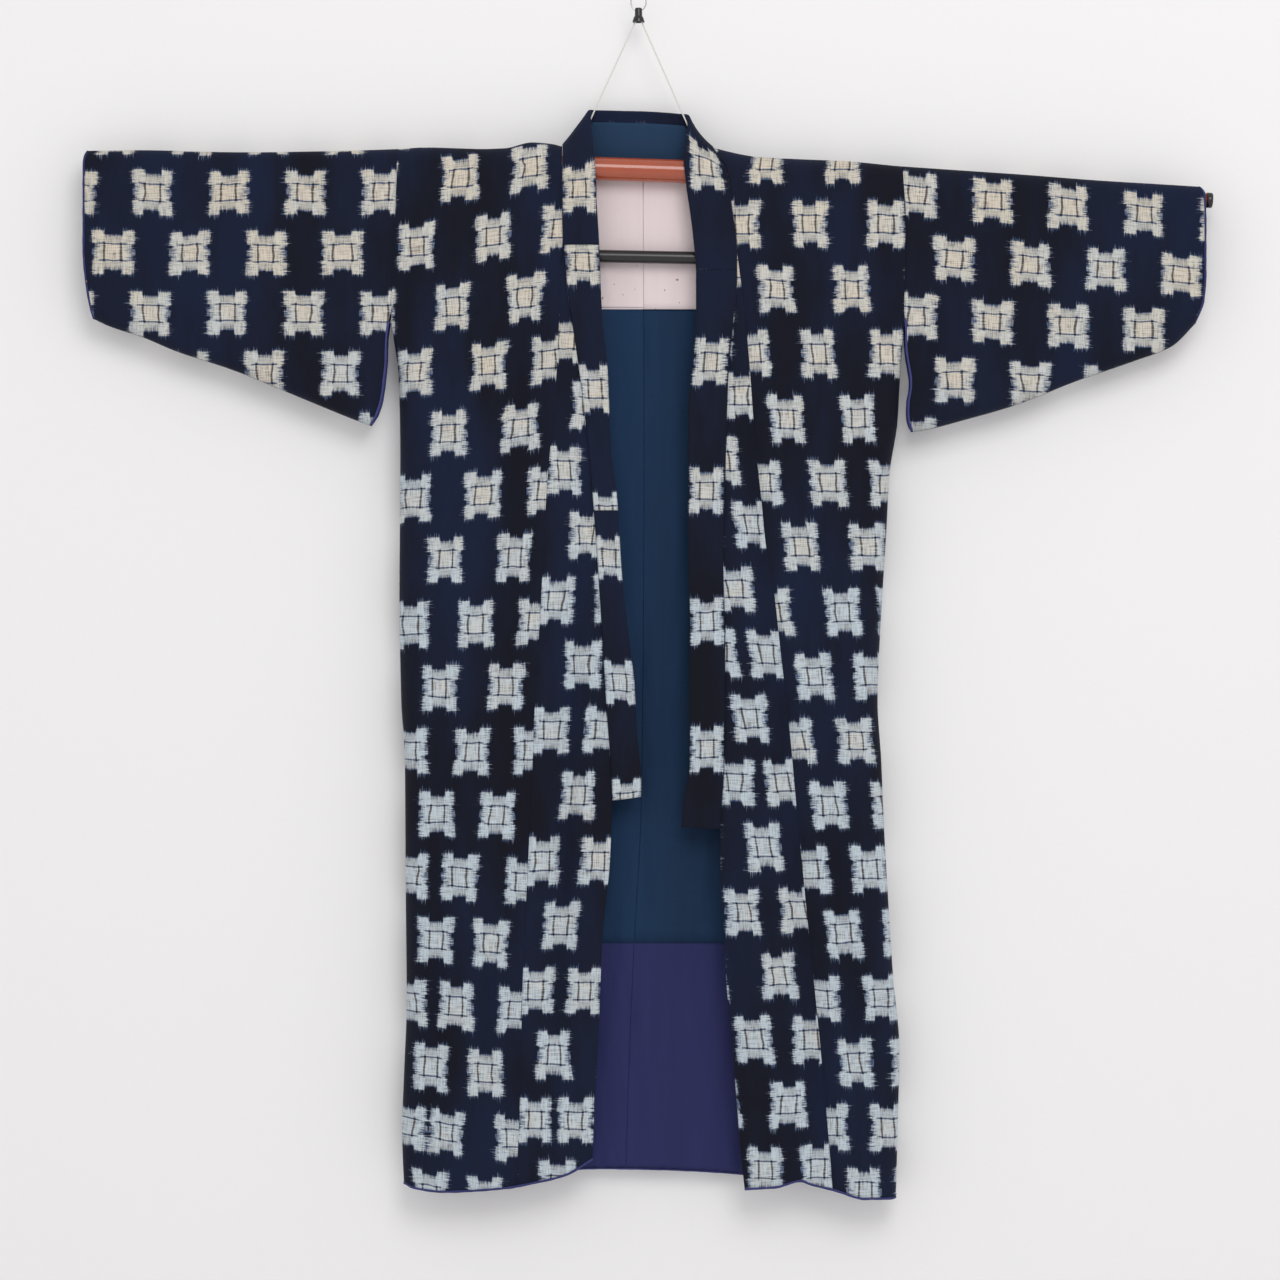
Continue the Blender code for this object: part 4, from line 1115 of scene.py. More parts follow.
@dataclass
class BodyLength:
    """One length of cloth up the back, over the hanger and down the front."""

    half: Half
    finishes: Finishes
    back_rows: int = 170
    fan_rows: int = 14
    over_rows: int = 20
    front_rows: int = 250
    columns: int = 52
    turn: int = 9
    side_columns: int = 7
    back_width: float = 266.0
    front_width: float = 140.0
    fan_share: float = 0.075
    over_span: tuple[float, float] = (0.05, 0.96)
    lining_clear: float = 3.5
    flat_width: float = 0.30
    flat_length: float = 2.32

    def hanging(self, shares: Array, across: Array, inner: Callable[[Array], Array],
                foot: Callable[[Array], Array], behind: bool, inset: float) -> tuple[Array, ...]:
        """x, y and drop of a hanging panel.

        A place lies a share of the way down from the hanger to the foot and
        a share of the way across from the inner edge to the side. Its x and
        drop depend on each other, so both are worked out five times over.
        """
        half = self.half.value
        across = across[None]
        share = shares[:, None]
        drop = 194 + share * 1115.0 + 0 * across
        for _ in range(5):
            start, end = inner(drop), side_line(half, drop)
            x = start + across * (end - start)
            top = axis_drop(x)
            drop = top + share * (foot(x) - top)
        shape = hanging_depth(x, drop, behind) - inset
        if inset > 0:
            shape = shape - 0.5 * ease(0, 60, drop - top)
        else:
            dip = seam_dip(np.abs(x - start))
            dip = dip + seam_dip(np.abs(end - x)) * (1 - ease(ARMHOLE_BOTTOM, SIDE_SEAM_TOP, drop))
            shape = shape - dip * ease(2, 30, drop - top)
        shape = SIDE_FACE + (shape - SIDE_FACE) * closing(np.abs(end - x), drop)
        return x, shape if behind else -shape, drop

    @property
    def first_over(self) -> int:
        """Number of the first row over the hanger."""
        return self.back_rows + self.fan_rows

    @property
    def first_front(self) -> int:
        """Number of the first row in front."""
        return self.first_over + self.over_rows

    def surface(self, inset: float) -> tuple[Array, Array]:
        """Places and cloth map of the whole length."""
        half = self.half.value
        back_across = round_shares(self.back_width, self.columns, self.turn)
        front_across = round_shares(self.front_width, self.columns, self.turn)
        back = self.hanging(
            np.linspace(1, self.fan_share, self.back_rows), back_across,
            lambda drop: smooth(MIDDLE, drop) + half * SEAM_GAP,
            lambda x: smooth(BACK_HEM, x), True, inset,
        )
        side = side_line(half, np.array(SIDE_TOP))
        corner = half * (abs(smooth(BAND_SEAM[half], NECK_TOP)) + NECK_GAP)
        start = smooth(MIDDLE, BACK_TOP) + half * SEAM_GAP
        out = np.linspace(0, 1, self.fan_rows)[:, None]
        begin = start + out * (corner - start)
        fan_x = begin + back_across[None] * (side - begin)
        fan_drop = axis_drop(fan_x) + back_across[None] * smooth(NECK_FAN, out)
        fan_y = hanging_depth(fan_x, fan_drop, True) - inset
        turn = np.linspace(*self.over_span, self.over_rows)[:, None]
        _, height = over(np.array(corner), turn, 0.0)
        edge = np.where(turn > 0.5, front_line(half, height) + half * NECK_GAP, corner)
        edge = edge + half * (self.lining_clear if inset > 0 else 0.0)
        blend = np.clip((turn - 0.5) * 2, 0, 1)
        columns = back_across + (front_across - back_across) * blend
        over_x = edge + columns * (side - edge)
        over_y, over_drop = over(over_x, turn, inset)
        front = self.hanging(
            np.linspace(0, 1, self.front_rows), front_across,
            lambda drop: front_line(half, drop) + half * SEAM_GAP,
            lambda x: smooth(FRONT_HEM[half], x), False, inset,
        )
        x, y, drop = (np.concatenate(parts) for parts in zip(
            back, (fan_x, fan_y, fan_drop), (over_x, over_y, over_drop), front))
        forward = np.zeros((len(x), 1))
        forward[self.first_over : self.first_front] = turn
        forward[self.first_front :] = 1.0
        return points(x, y, drop), self.cloth_map(x, drop, forward)

    def cloth_map(self, x: Array, drop: Array, forward: Array) -> Array:
        """Distances to the columns of motifs, and half rows.

        Motifs sit on even columns in even rows and on odd ones in odd rows.
        Over the hanger and down the back the drop that a thread would have if
        the cloth were laid out flat upwards takes the place of the drop.
        """
        half = self.half.value
        hanger = axis_drop(x)
        arc = np.pi * 0.5 * (smooth(WRAP, x, 1) + smooth(WRAP, x, 2))
        laid = np.where(forward > 0, hanger - arc * (1 - forward), hanger - arc - (drop - hanger))
        laid = np.where(forward >= 1, drop, laid)
        level = np.where(forward >= 1, drop, 200.0)
        front = column_distance(BODY_COLUMNS[half], x, level, 1)
        back = even_distance((x + slant(x, drop) - BACK_FIRST[half]) / BODY_PITCH, FLAT_PITCH)
        columns = back + (front - back) * forward[..., None]
        first, pitch, lean, spread = BODY_ROWS[half]
        across = np.clip((x - BACK_FIRST[half]) / BODY_PITCH, -1, 4)
        rows = (laid - first - lean * across) / (pitch + spread * across)
        return motif_map(columns, rows + 1)

    def build(self) -> None:
        """The outer cloth with its lined inside, and the roll of lining along its hems."""
        word = self.half.word
        places, uv = self.surface(0.0)
        piece = cloth_mesh("outer_body_" + word, places, uv)
        wall(piece, CLOTH_WALL, inner=1)
        looks = self.finishes
        seat(piece, [looks.kasuri, looks.lining], "indigo_kasuri", "body_" + word)
        for where, row in (("back", places[0]), ("front", places[-1])):
            name = f"hem_roll_{where}_{word}"
            lining_roll(name, row, HEM_ROLL, looks, low=True)
        surface_area(places)

    def lining(self) -> None:
        """The pink, teal and violet linings that hang against the back's inside."""
        places, _ = self.surface(LINING_INSET)
        places = places[:, : -self.side_columns]
        drop = -places[..., 2] / MM
        waves = rumple(places[..., 0] / MM, drop, 38, 160, 21) + 1.2
        waves = waves + 0.5 * (rumple(places[..., 0] / MM, drop, 15, 60, 22) + 1)
        places[: self.back_rows, :, 1] -= 0.45 * MM * np.clip(waves, 0, None)[: self.back_rows]
        word = self.half.word
        half = self.half.value
        back = places[: self.back_rows][::-1]
        hem = smooth(BACK_HEM, back[-1, :, 0] / MM) - 1.2
        pink = np.concatenate([level_cut(back, PINK_BOTTOM[half], None)[::-1],
                               places[self.back_rows : self.first_front + 4]])
        teal = level_cut(back, TEAL_BOTTOM, PINK_BOTTOM[half] + 0.3)
        violet = level_cut(back, hem, TEAL_BOTTOM + 0.3)
        stretches = (("yoke", "pink", pink, 0.28, 0.23), ("back", "teal", teal, 0.27, 0.71),
                     ("hem", "violet", violet, 0.27, 0.28))
        for where, slot, grid, wide, long in stretches:
            grid = grid.copy()
            if where == "hem":
                pucker(grid)
            name = f"{where}_lining_cloth_{word}"
            piece = cloth_mesh(name, grid, sheet_map(grid))
            wall(piece, LINING_WALL)
            seat(piece, [self.finishes.lining], slot + "_lining", f"{where}_lining_{word}")
            min(surface_area(grid), wide * long)


def pucker(grid: Array) -> None:
    """Draw the lining's foot up in uneven gathers: waves of 1 mm, 13 mm long, in its last 40 mm."""
    x = grid[..., 0] / MM
    below = (grid[..., 2] - grid[-1:, :, 2]) / MM
    near = np.exp(-((below / 26.0) ** 2))
    wave = np.sin(x * 2 * np.pi / 13.0 + 1.4 * np.sin(x / 17.0)) + 0.5 * np.sin(x / 3.1)
    grid[..., 1] -= MM * near * (0.7 + 0.7 * wave)
    grid[..., 2] += MM * 0.8 * np.exp(-((below / 8.0) ** 2)) * wave


def level_cut(rows: Array, bottom: Array | float, top: float | None) -> Array:
    """The part of hanging rows between two levels, with a row on each level.

    Args:
        rows: places from the hanger down.
        bottom: lower drop, the same or one for each column.
        top: upper drop, or None to keep the first row.
    """
    drop = -rows[..., 2] / MM
    bottom = np.broadcast_to(np.asarray(bottom, float), (rows.shape[1],))
    middle = drop.mean(axis=1)
    inside = middle < bottom.mean() - 4
    if top is not None:
        inside &= middle > top + 4
    kept = [rows[inside], crossing(rows, drop, bottom)[None]]
    if top is not None:
        kept.insert(0, crossing(rows, drop, np.full(rows.shape[1], top))[None])
    return np.concatenate(kept)


def crossing(rows: Array, drop: Array, level: Array) -> Array:
    """Where each column of the rows crosses its level, in a straight line between two rows."""
    index = np.clip((drop < level[None]).sum(axis=0) - 1, 0, len(rows) - 2)
    column = np.arange(rows.shape[1])
    low, high = rows[index, column], rows[index + 1, column]
    span = drop[index + 1, column] - drop[index, column]
    part = ((level - drop[index, column]) / span)[:, None]
    return low + part * (high - low)


def surface_area(places: Array) -> float:
    """Area of a grid in square metres, from the cross products of its cells' sides."""
    along = places[1:, :-1] - places[:-1, :-1]
    across = places[:-1, 1:] - places[:-1, :-1]
    return float(np.linalg.norm(np.cross(along, across), axis=-1).sum())


def sheet_map(places: Array) -> Array:
    """Millimetres across and down a sheet, from its first corner."""
    across = np.linalg.norm(np.diff(places, axis=1), axis=-1)
    down = np.linalg.norm(np.diff(places, axis=0), axis=-1)
    u = np.concatenate([np.zeros((places.shape[0], 1)), np.cumsum(across, axis=1)], axis=1)
    v = np.concatenate([np.zeros((1, places.shape[1])), np.cumsum(down, axis=0)], axis=0)
    return np.stack([u, v], axis=-1) / MM


def lining_roll(name: str, row: Array, radius: float, looks: Finishes, low: bool = False,
                closed: bool = False) -> bpy.types.Object:
    """The lining rolled out over the edge of the cloth as a thin welt, uneven along its length."""
    row = row.copy()
    if low:
        row[:, 2] -= 0.5 * MM

    def ring(along: Array, angle: Array) -> Array:
        uneven = 1 + 0.12 * np.sin(along * 310) * np.sin(along * 97 + 1)
        return radius * MM * uneven * (0.85 + 0.15 * np.cos(angle) ** 2)

    piece = swept_mesh(name, row, ring, 10, closed)
    return seat(piece, [looks.fuki], "violet_lining")


@dataclass
class Okumi:
    """The narrow gore between the body's front and the band."""

    half: Half
    finishes: Finishes
    rows: int = 230
    columns: int = 22

    def build(self) -> None:
        """The outer cloth with its lined inside and the roll along its hem."""
        half, word = self.half.value, self.half.word
        across = np.concatenate([
            [0.0, 0.015, 0.035, 0.06, 0.09], np.linspace(0.13, 0.9, self.columns),
            [0.94, 0.965, 0.985, 1.0],
        ])[None]
        share = np.linspace(0, 1, self.rows)[:, None]
        tip = OKUMI_TIP[half] + 1.0
        hem = smooth(FRONT_HEM[half], smooth(OKUMI_SEAM[half], 1310.0))
        drop = tip + share * (hem - tip) + 0 * across
        level = drop
        for _ in range(4):
            start = smooth(OKUMI_SEAM[half], level) - half * SEAM_GAP
            end = band_line(half, drop) + half * SEAM_GAP
            x = start + across * (end - start)
            fall = smooth(FRONT_HEM[half], x[-1:]) - hem
            drop = level + share**3 * fall
        depth = hanging_depth(x, drop, False)
        depth = depth - seam_dip(np.abs(x - start))
        sewn = 1 - ease(BAND_END[half][0] - 10, BAND_END[half][0], drop)
        depth = depth - seam_dip(np.abs(x - end)) * sewn
        columns = column_distance(OKUMI_COLUMNS[half], x, drop, -half)
        first, pitch = OKUMI_ROWS[half]
        places = points(x, -depth, drop)
        uv = motif_map(columns, (drop - first) / pitch + 2)
        piece = cloth_mesh("outer_okumi_" + word, places, uv)
        wall(piece, CLOTH_WALL, inner=1)
        looks = self.finishes
        seat(piece, [looks.kasuri, looks.lining], "indigo_kasuri", "okumi_" + word)
        roll = lining_roll("hem_roll_okumi_" + word, places[-1], HEM_ROLL, looks, low=True)
        surface_area(places)


@dataclass
class Sleeve:
    """A wide sleeve: a flat tube from the armhole to the cuff."""

    half: Half
    finishes: Finishes
    stations: int = 74
    down: int = 56
    turn: int = 7
    over_turns: int = 14

    def surface(self) -> tuple[Array, Array]:
        """Places and cloth map of the tube.

        Round the tube a place is first on the back going up, then over the
        hanger, then on the front going down. The last SLEEVE_ROUND above the
        lower edge is a quarter circle on each side.
        """
        half = self.half.value
        out = np.linspace(0, 1, self.stations)[:, None]
        out = out - 0.12 * np.sin(2 * np.pi * out) / np.pi
        angle = np.linspace(np.pi / 2, 0, self.turn + 1)[1:]
        flat = np.linspace(1, 0, self.down)[1:]
        over_turn = np.linspace(0, 1, self.over_turns)[1:-1]
        count = len(over_turn)
        hung = np.ones(self.turn + self.down - 1)
        # kind: 0 lower edge, 1 hanging, 2 over the hanger; sign: behind 1, in front -1
        kind = np.concatenate([[0], hung, np.full(count, 2.0), hung])
        sign = np.concatenate([[1], hung, np.zeros(count), -hung])
        bend = np.concatenate([[np.pi / 2], angle, np.zeros(self.down - 1 + count),
                               np.zeros(self.down - 1), angle[::-1]])
        share = np.concatenate([[1], np.ones(self.turn), flat, over_turn, flat[::-1],
                                np.ones(self.turn)])
        kind, sign, bend, share = (part[None] for part in (kind, sign, bend, share))
        drop = 250.0 + 0 * out * share
        for _ in range(9):
            inner = smooth(SIDE_EDGE[half], drop)
            inner = inner + half * (BAND_GAP + smooth(SLEEVE_STAND[half], drop))
            x = inner + out * (smooth(CUFF[half], drop) - inner)
            low, top = smooth(SLEEVE_LOW[half], x), axis_drop(x)
            over_y, over_drop = over(x, share, 0.0)
            hanging = top + share * (low - SLEEVE_ROUND - top)
            hanging = hanging + SLEEVE_ROUND * np.sin(bend) * (share >= 1)
            drop = np.where(kind == 2, over_drop, hanging)
        depth = np.where(sign > 0, hanging_depth(x, drop, True), hanging_depth(x, drop, False))
        depth = depth - seam_dip(np.abs(x - inner)) * ease(2, 30, drop - top)
        y = np.where(kind == 2, over_y, sign * depth * np.cos(bend))
        arc = np.pi * 0.5 * (smooth(WRAP, x, 1) + smooth(WRAP, x, 2))
        laid = np.where(kind == 2, top - arc * (1 - share), drop)
        laid = np.where((kind < 2) & (sign > 0), top - arc - (drop - top), laid)
        return points(x, y, drop), self.cloth_map(x, laid)

    def cloth_map(self, x: Array, laid: Array) -> Array:
        """Distances to the columns of motifs, and half rows."""
        if self.half is Half.RIGHT:
            rows = (laid - 220.0) / 66.2
            count = (x + slant(x, laid) + 575.3 + 1.1 * rows) / 42.0
            return motif_map(even_distance(count, SLEEVE_FLAT_PITCH), rows + 1)
        count = (x + slant(x, laid) - 305.3) / 41.5
        rows = (laid - 222.3 - 3.5 * count) / (67.3 - 0.55 * count)
        return motif_map(even_distance(count, SLEEVE_FLAT_PITCH), rows)

    def build(self) -> None:
        """The tube with its lined inside, and the rolls round its cuff and its inner edge."""
        word = self.half.word
        places, uv = self.surface()
        piece = cloth_mesh("outer_sleeve_" + word, places, uv, round_it=True)
        wall(piece, CLOTH_WALL, inner=1)
        looks = self.finishes
        seat(piece, [looks.kasuri, looks.fuki], "indigo_kasuri", "sleeve_" + word)
        cuff = lining_roll("cuff_roll_" + word, places[-1], EDGE_ROLL, looks, closed=True)
        drop = -places[0, :, 2] / MM
        order = np.roll(np.arange(places.shape[1]), places.shape[1] // 2)
        free = [k for k in order if drop[k] > ARMHOLE_BOTTOM - 4]
        inner = lining_roll("inner_edge_roll_" + word, places[0, free], EDGE_ROLL, looks)
        area = surface_area(np.concatenate([places, places[:, :1]], axis=1))


@dataclass
class Band:
    """The collar band: round the neck and down each front, in four stretches."""

    finishes: Finishes
    columns: int = 21
    row_step: float = 3.2
    neck_rows: int = 60
    lined_keys: float = 3.2

    def stretch(self, half: int, top: float, foot: float,
                end: tuple[float, float] | None = None) -> Array:
        """Places of the band where it lies on a front.

        Its seam edge follows the cloth's edge and its free edge its own
        table. At the foot the two edges end at drops of their own.
        """
        count = int((foot - top) / self.row_step)
        drop = np.linspace(top, foot, count)[:, None]
        seam_drop, free_drop = drop, drop
        if end is not None:
            late = ease(foot - 40, foot, drop)
            seam_drop = drop + late * (end[0] - foot)
            free_drop = drop + late * (end[1] - foot)
        w = np.linspace(0, 1, self.columns)[None]
        inner = band_line(half, seam_drop) - half * BAND_GAP
        outer = smooth(BAND_FREE[half], free_drop)
        x = inner + w * (outer - inner)
        place = seam_drop + w * (free_drop - seam_drop)
        swell = 0.35 * rumple(x, place, 60, 70, 31) * np.sin(np.pi * w)
        return points(x, -hanging_depth(x, place, False) - BAND_PROUD - swell, place)

    def neck_half(self, half: int) -> Array:
        """Places of the band from the middle of the back round to the front, one side.

        The seam edge runs along the back neck and over the shoulder, the
        free edge follows its tables, and the line between them sags.
        """
        back = np.array(NECK_BACK[half])
        turned = np.array(NECK_OVER[half])
        corner = half * (abs(smooth(BAND_SEAM[half], NECK_TOP)) - BAND_GAP)
        start = smooth(MIDDLE, BACK_TOP)
        back_x = start + back[:, 0] * (corner - start)
        depth, drop = over(back_x, np.zeros(len(back)), 0.0)
        back_seam = np.stack([back_x, depth, 0.3 - drop], axis=-1)
        free_x = start * (1 - back[:, 0]) + back[:, 1]
        back_free = np.stack([free_x, back[:, 2], -back[:, 3]], axis=-1)
        turn = turned[:, 0]
        corners = np.full(len(turn), float(corner))
        _, drop = over(corners, turn, 0.0)
        seam_x = np.where(turn > 0.5, smooth(BAND_SEAM[half], drop) - half * BAND_GAP, corners)
        depth, drop = over(seam_x, turn, 0.0)
        seam = np.stack([seam_x, depth - BAND_PROUD * turn, -drop], axis=-1)
        free = np.stack([turned[:, 1], turned[:, 2], -turned[:, 3]], axis=-1)
        clear = NECK_CLEAR * np.minimum(1.0, 2.2 * np.sin(np.pi * turn))[:, None]
        toward = (free - seam) / np.linalg.norm(free - seam, axis=1, keepdims=True)
        seam = seam + clear * toward
        sag = np.concatenate([np.zeros(len(back)), NECK_SAG[half] * np.sin(np.pi * turn) ** 2])
        seam = np.concatenate([back_seam, seam])
        free = np.concatenate([back_free, free])
        key = np.arange(len(seam), dtype=float)
        fine = np.linspace(0, key[-1], self.neck_rows)
        table = np.concatenate([key[:, None], seam, free, sag[:, None]], axis=1)
        columns = np.stack([smooth(table, fine, k) for k in range(1, 8)], axis=-1)
        seam, free, sag = columns[:, :3], columns[:, 3:6], columns[:, 6]
        across = free - seam
        inward = np.stack([-across[:, 2], 0 * sag, across[:, 0]], axis=-1)
        inward = inward * np.where(inward[:, 2:] > 0, -1, 1)
        inward = inward / np.linalg.norm(across, axis=1, keepdims=True)
        w = np.linspace(0, 1, self.columns)[None, :, None]
        sagging = 4 * w * (1 - w) * (sag[:, None] * inward)[:, None]
        return (seam[:, None] + w * across[:, None] + sagging) * MM

    def neck(self) -> Array:
        """The whole band round the neck between its two joins."""
        right, left = (self.stretch(half, NECK_FOOT[half], BAND_JOIN[half] - NECK_GAP)
                       for half in (-1, 1))
        rows = np.concatenate([right[::-1], self.neck_half(-1)[::-1], self.neck_half(1)[1:], left])
        return even_rows(rows, int(row_length(rows) / (self.row_step * MM)))

    def cloth_map(self, places: Array, rows: Array) -> Array:
        """Distances from the band's middle line, on which its only motifs lie, and half rows."""
        width = np.linalg.norm(places[:, -1] - places[:, 0], axis=-1)[:, None] / MM
        middle = np.abs(np.linspace(-0.5, 0.5, places.shape[1])[None] * width) * 1.14
        return motif_map(np.stack([middle, 42.0 + middle], axis=-1), rows[:, None])

    def build(self) -> None:
        """The four stretches and the teal lining behind the neck."""
        looks = self.finishes
        stretches = {
            "band_right_upper": (-1, BAND_JOIN[-1] + NECK_GAP, LOWER_JOIN - NECK_GAP, None),
            "band_right_lower": (-1, LOWER_JOIN + NECK_GAP, 885.0, BAND_END[-1]),
            "band_left": (1, BAND_JOIN[1] + NECK_GAP, 917.0, BAND_END[1]),
        }
        for node, (half, top, foot, end) in stretches.items():
            places = self.stretch(half, top, foot, end)
            drop = -places[:, self.columns // 2, 2] / MM
            motifs = np.array(BAND_MOTIFS[node])
            rows = np.interp(drop, motifs[:, 0], motifs[:, 1])
            rows = rows + np.minimum(drop - motifs[0, 0], 0) / BAND_HALF_ROW
            rows = rows + np.maximum(drop - motifs[-1, 0], 0) / BAND_HALF_ROW
            piece = slab_mesh("outer_" + node, places, self.cloth_map(places, rows), BAND_WALL)
            seat(piece, [looks.kasuri], "indigo_kasuri", node)
        places = self.neck()
        along = along_rows(places) / MM
        drop = -places[:, self.columns // 2, 2] / MM
        middle = len(places) // 2
        first = np.interp(-NECK_MOTIF[-1], -drop[:middle], along[:middle])
        last = np.interp(NECK_MOTIF[1], drop[middle:], along[middle:])
        pitch = 2 * round((last - first) / (2 * BAND_HALF_ROW)) / (last - first)
        rows = (along - first) * pitch
        piece = slab_mesh("outer_band_neck", places, self.cloth_map(places, rows), BAND_WALL)
        seat(piece, [looks.kasuri], "indigo_kasuri", "band_neck")
        self.build_lining()

    def build_lining(self) -> None:
        """The teal lining on the band's inner face behind the neck."""
        right, left = self.neck_half(-1), self.neck_half(1)
        keys = len(NECK_BACK[1]) + len(NECK_OVER[1]) - 1
        reach = int(self.neck_rows * self.lined_keys / keys)
        rows = np.concatenate([right[:reach][::-1], left[1:reach]])
        low, high = int(0.12 * self.columns), int(0.82 * self.columns)
        rows = rows[:, low:high]
        normal = unit_normals(rows)
        normal = normal * np.where(normal[..., 1:2] > 0, -1.0, 1.0)
        places = rows + normal * (BAND_WALL / 2 + 0.3 + LINING_WALL / 2) * MM
        piece = cloth_mesh("neck_lining_cloth", places, sheet_map(places))
        wall(piece, LINING_WALL)
        teal = LiningFinish("neck_teal", pink=(0.0125, 0.04, 0.092)).build()
        seat(piece, [teal], "teal_lining", "neck_lining")
        min(surface_area(places), 0.0049)


def along_rows(places: Array) -> Array:
    """Distance along a strip's middle line at each row, in metres."""
    middle = places[:, places.shape[1] // 2]
    step = np.linalg.norm(np.diff(middle, axis=0), axis=1)
    return np.concatenate([[0.0], np.cumsum(step)])


def row_length(places: Array) -> float:
    """Length of a strip's middle line in metres."""
    return float(along_rows(places)[-1])


def even_rows(places: Array, count: int) -> Array:
    """A strip's rows again at even steps along it, each column read in straight lines."""
    along = along_rows(places)
    fine = np.linspace(0, along[-1], count)
    index = np.clip(np.searchsorted(along, fine) - 1, 0, len(along) - 2)
    part = ((fine - along[index]) / (along[index + 1] - along[index]))[:, None, None]
    return places[index] * (1 - part) + places[index + 1] * part


# The hanger


@dataclass
class Hanger:
    """Telescopic tube with two rods, a lower bar, and the cord to the ring."""

    finishes: Finishes
    tube_radius: float = 13.0
    tube_bore: float = 9.8
    tube_half: float = 230.0
    rod_radius: float = 8.0
    rod_tips: tuple[float, float] = (-592.0, 624.6)
    bar_radius: float = 7.0
    bar_half: float = 180.0
    cord_radius: float = 0.9
    cord_x: float = 70.5

    @staticmethod
    def on_axis(x: float) -> Array:
        """Place on the tube's axis, in millimetres."""
        return np.array([x, 0.0, -float(axis_drop(x))])

    @staticmethod
    def bar_drop(x: float) -> float:
        """Drop of the lower bar's axis."""
        rows = np.asarray(BAR_AXIS, dtype=float)
        return float(np.interp(x, rows[:, 0], rows[:, 1]))

    def build(self) -> None:
        """Every part of the hanger."""
        self.build_tube()
        self.build_bar()
        self.build_cord()
        self.build_ring()

    def build_tube(self) -> None:
        """The tube, its two rods and their end caps."""
        start, end = self.on_axis(-self.tube_half), self.on_axis(self.tube_half)
        length, radius = float(np.linalg.norm(end - start)), self.tube_radius
        bore, edge = self.tube_bore, 0.8
        profile = [(0.0, bore), (0.0, radius - edge), (0.25, radius - 0.25), (edge, radius)]
        profile += [(edge + (length - 2 * edge) * k / 12, radius) for k in range(1, 13)]
        profile += [(length - 0.25, radius - 0.25), (length, radius - edge), (length, bore), (0.0, bore)]
        piece = turned_mesh("tube_shell", start, end, profile, 64)
        seat(piece, [self.finishes.tube], "orange_brown_tube", "pole_tube")
        for half, tip in zip(Half, self.rod_tips):
            joint = self.on_axis(half.value * self.tube_half)
            outer = self.on_axis(tip)
            ahead = (outer - joint) / np.linalg.norm(outer - joint)
            begin = joint - ahead * 30.0
            reach = float(np.linalg.norm(outer - begin))
            rod = [(0, 0), (0, 7.4), (0.6, self.rod_radius)]
            rod += [(reach * k / 8, self.rod_radius) for k in range(1, 9)] + [(reach, 0)]
            piece = turned_mesh("rod_sleeve_" + half.word, begin, outer, rod, 40)
            seat(piece, [self.finishes.rod], "red_brown_rod", "rod_" + half.word)
            cap = [(0.3, 0), (0.3, 8.3), (0.5, 8.5), (5.2, 8.5), (6.0, 8.25), (6.5, 7.7),
                   (6.85, 6.6), (7.0, 4.0), (7.0, 0)]
            piece = turned_mesh("end_cap_" + half.word, outer, outer + ahead, cap, 40)
            seat(piece, [self.finishes.black], "black_trim", "cap_" + half.word)

    def build_bar(self) -> None:
        """The lower bar with rounded ends."""
        start = np.array([-self.bar_half, 0.0, -self.bar_drop(-self.bar_half)])
        end = np.array([self.bar_half, 0.0, -self.bar_drop(self.bar_half)])
        length, radius = float(np.linalg.norm(end - start)), self.bar_radius
        turn = np.linspace(0, np.pi / 2, 6)
        edge = 1.6
        near = [(edge - edge * math.sin(a), radius - edge + edge * math.cos(a)) for a in turn[::-1]]
        profile = [(0, 0)] + near + [(length * k / 10, radius) for k in range(1, 10)]
        profile += [(length - along, around) for along, around in near[::-1]] + [(length, 0)]
        piece = turned_mesh("bar_shell", start, end, profile, 40)
        seat(piece, [self.finishes.black], "black_trim", "lower_bar")

    def knot(self, half: Half) -> bpy.types.Object:
        """A small overhand knot: a ball of 3 mm radius whose crossed turns stand 13% out."""
        x = half.value * self.cord_x
        top = self.bar_drop(x) + self.bar_radius + 1.6
        rows, around, ball = 26, 36, 3.0
        polar = np.linspace(0, np.pi, rows)[:, None]
        angle = np.linspace(0, 2 * np.pi, around, endpoint=False)[None]
        radius = ball * (1 + 0.13 * np.sin(3 * angle + 5 * polar) * np.sin(polar))
        places = np.stack([
            x + radius * np.sin(polar) * np.cos(angle),
            0.85 * radius * np.sin(polar) * np.sin(angle),
            -top - ball + radius * np.cos(polar) + 0 * angle,
        ], axis=-1) * MM
        uv = np.stack(np.broadcast_arrays(polar * 3, angle), axis=-1)
        faces = grid_faces(rows, around, True).tolist()
        piece = make_mesh("tied_knot_" + half.word, places.reshape(-1, 3), faces, uv.reshape(-1, 2))
        tidy_mesh(piece, 1e-6)
        return seat(piece, [self.finishes.cord], "white_cord", "knot_" + half.word)

